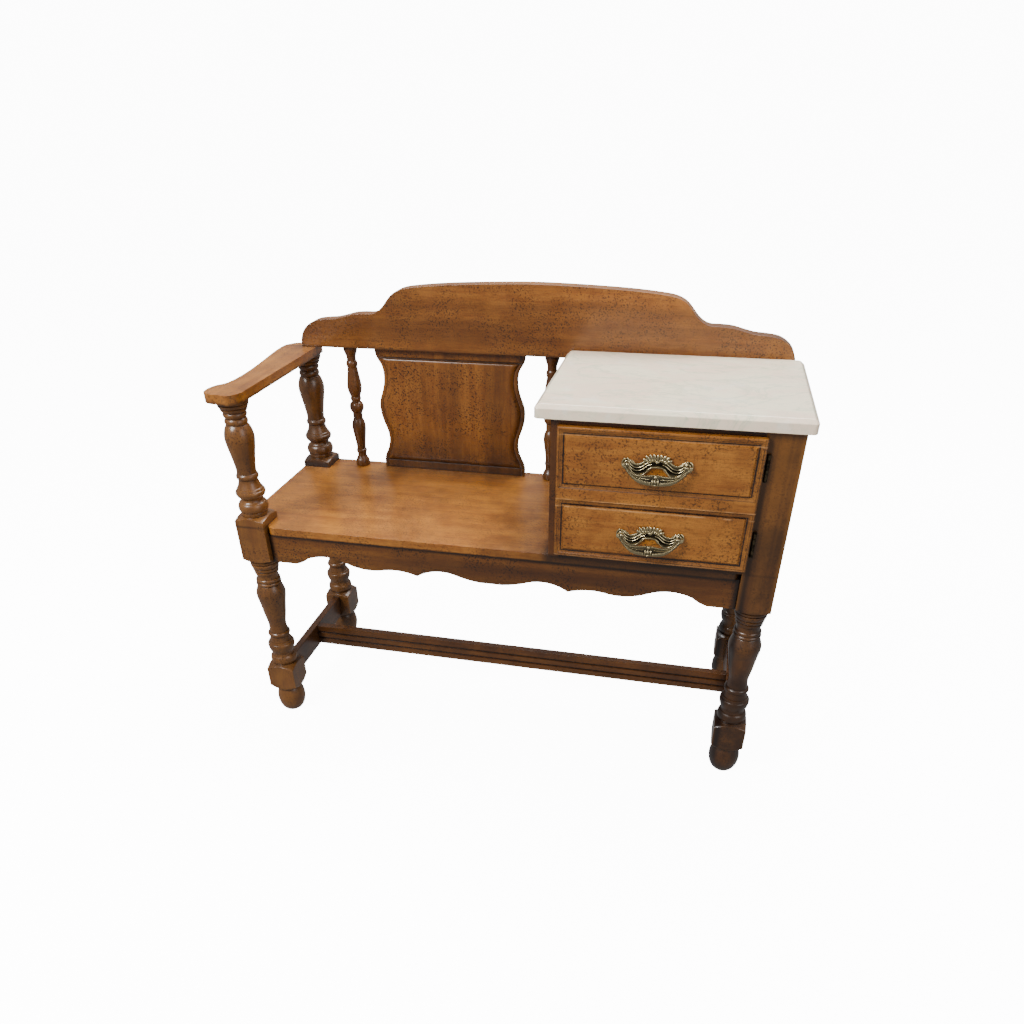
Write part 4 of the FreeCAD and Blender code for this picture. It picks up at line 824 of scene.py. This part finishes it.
# Along a post from the plate forwards, as (y, radius): a foot, a neck and a drum that holds the pivot
POST = [(4.5, 4.4), (2.6, 3.0), (1.4, 3.9), (-1.6, 3.9), (-3.2, 3.1), (-3.8, 1.2)]
for place, level in (("upper", 611.776), ("lower", 493.526)):
    middle = Matrix.Translation(Vector((PULL_X, PIVOT_Y, level)) * MM)
    bm = bmesh.new()
    plate_work(bm)
    bmesh.ops.transform(bm, matrix=middle, verts=bm.verts)
    mesh_piece(place + "_cast_plate", bm, "door", antique_brass, [place + "_pull_plate"], 60.0)
    bm = bmesh.new()
    for sign in (-1, 1):
        limb(bm, [(sign * POST_X, y, 0.0, radius, radius) for y, radius in POST], 20)
        limb(bm, [(sign * POST_X, y, 0.0, 2.0, 2.0) for y in (4.5, 28.4)], 12)
    bmesh.ops.transform(bm, matrix=middle, verts=bm.verts)
    mesh_piece(place + "_round_posts", bm, "door", antique_brass, [place + "_pull_posts"], 60.0)
    bm = bmesh.new()
    bail_work(bm)
    bmesh.ops.transform(bm, matrix=middle @ Matrix.Rotation(HANGS, 4, "X"), verts=bm.verts)
    mesh_piece(place + "_leafed_bail", bm, place + "_handle", antique_brass, [place + "_bail"],
               60.0)
    for piece in ("pull_nuts", "hinge_door_leaf", "hinge_frame_leaf", "hinge_pin"):
        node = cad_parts[f"{place}_{piece}"]
        node.data.materials.clear()
        node.data.materials.append(plain_brass)


# CATCH
# A moulded magnetic catch inside the cabinet and the steel plate on the door that it holds.

def plain(name, colour, roughness, metallic=0.0):
    """A plain finish with a slight unevenness."""
    finish = Finish(name)
    cloud = finish.noise(90.0, 2.0)
    uneven = finish.mix(cloud * 0.4, colour, tuple(0.6 * part for part in colour))
    finish.set(Base_Color=uneven, Metallic=metallic, Roughness=cloud * 0.15 + roughness)
    return finish.material


for node, material in (("catch_magnet", plain("brown_plastic", (0.05, 0.03, 0.02), 0.45)),
                       ("catch_strike", plain("steel_plate", (0.45, 0.45, 0.46), 0.3, 0.9))):
    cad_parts[node].data.materials.clear()
    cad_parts[node].data.materials.append(material)


# STUDIO
# White paper below and all round, soft light from above and both sides, and the photograph's own view.

PAPER_REACH, PAPER_HEIGHT = 30.0, 40.0
bm = bmesh.new()
bmesh.ops.create_grid(bm, x_segments=1, y_segments=1, size=PAPER_REACH)
risen = bmesh.ops.extrude_edge_only(bm, edges=bm.edges[:])["geom"]
bmesh.ops.translate(bm, verts=[item for item in risen if isinstance(item, bmesh.types.BMVert)],
                    vec=(0, 0, PAPER_HEIGHT))
paper_mesh = bpy.data.meshes.new("paper_floor")
bm.to_mesh(paper_mesh)
bm.free()
floor = bpy.data.objects.new("paper_floor", paper_mesh)
bpy.context.scene.collection.objects.link(floor)
paper = Finish("white_paper")
paper.set(Base_Color=(0.96, 0.96, 0.96), Roughness=0.9, Emission_Color=(1.0, 1.0, 1.0), Emission_Strength=12.0)
paper_mesh.materials.append(paper.material)
# the paper is seen by the camera alone, so that its own glow doesn't light the bench
floor.visible_diffuse = floor.visible_glossy = False


def area_light(name, place, size, power):
    """A square soft light that faces the middle of the bench."""
    lamp = bpy.data.lights.new(name, "AREA")
    lamp.shape, lamp.size, lamp.energy = "SQUARE", size, power
    light = bpy.data.objects.new(name, lamp)
    light.location = place
    light.rotation_euler = (Vector((0.0, 0.0, 0.4)) - light.location).to_track_quat("-Z", "Y").to_euler()
    bpy.context.scene.collection.objects.link(light)


area_light("key_light", (-1.5, -1.9, 2.4), 1.2, 115.0)
area_light("fill_light", (2.2, -1.6, 1.6), 1.6, 24.0)
area_light("top_light", (0.2, 0.8, 2.6), 1.6, 95.0)
world = bpy.data.worlds.new("studio")
world.use_nodes = True
world.node_tree.nodes["Background"].inputs["Color"].default_value = (1.0, 1.0, 1.0, 1.0)
world.node_tree.nodes["Background"].inputs["Strength"].default_value = 0.36
bpy.context.scene.world = world

# Solved from the photograph: place, angles, focal length and middle of the view in its pixels
CAMERA_PLACE = Vector((0.310866, -1.362599, 1.070354))
YAW, PITCH, ROLL = math.radians(-13.998), math.radians(-35.061), math.radians(-1.118)
PICTURE, FOCAL, VIEW_X, VIEW_Y, SENSOR = 1024, 803.264, 497.092, 661.679, 36.0
ahead = Vector((math.sin(YAW) * math.cos(PITCH), math.cos(YAW) * math.cos(PITCH), math.sin(PITCH)))
right = Vector((math.cos(YAW), -math.sin(YAW), 0.0))
above = right.cross(ahead)
right, above = (math.cos(ROLL) * right + math.sin(ROLL) * above, math.cos(ROLL) * above - math.sin(ROLL) * right)
lens = bpy.data.cameras.new("camera")
lens.sensor_width, lens.lens = SENSOR, FOCAL / PICTURE * SENSOR
lens.shift_x, lens.shift_y = (PICTURE / 2 - VIEW_X) / PICTURE, (VIEW_Y - PICTURE / 2) / PICTURE
camera = bpy.data.objects.new("camera", lens)
camera.matrix_world = Matrix.Translation(CAMERA_PLACE) @ Matrix((right, above, -ahead)).transposed().to_4x4()
bpy.context.scene.collection.objects.link(camera)
bpy.context.scene.camera = camera
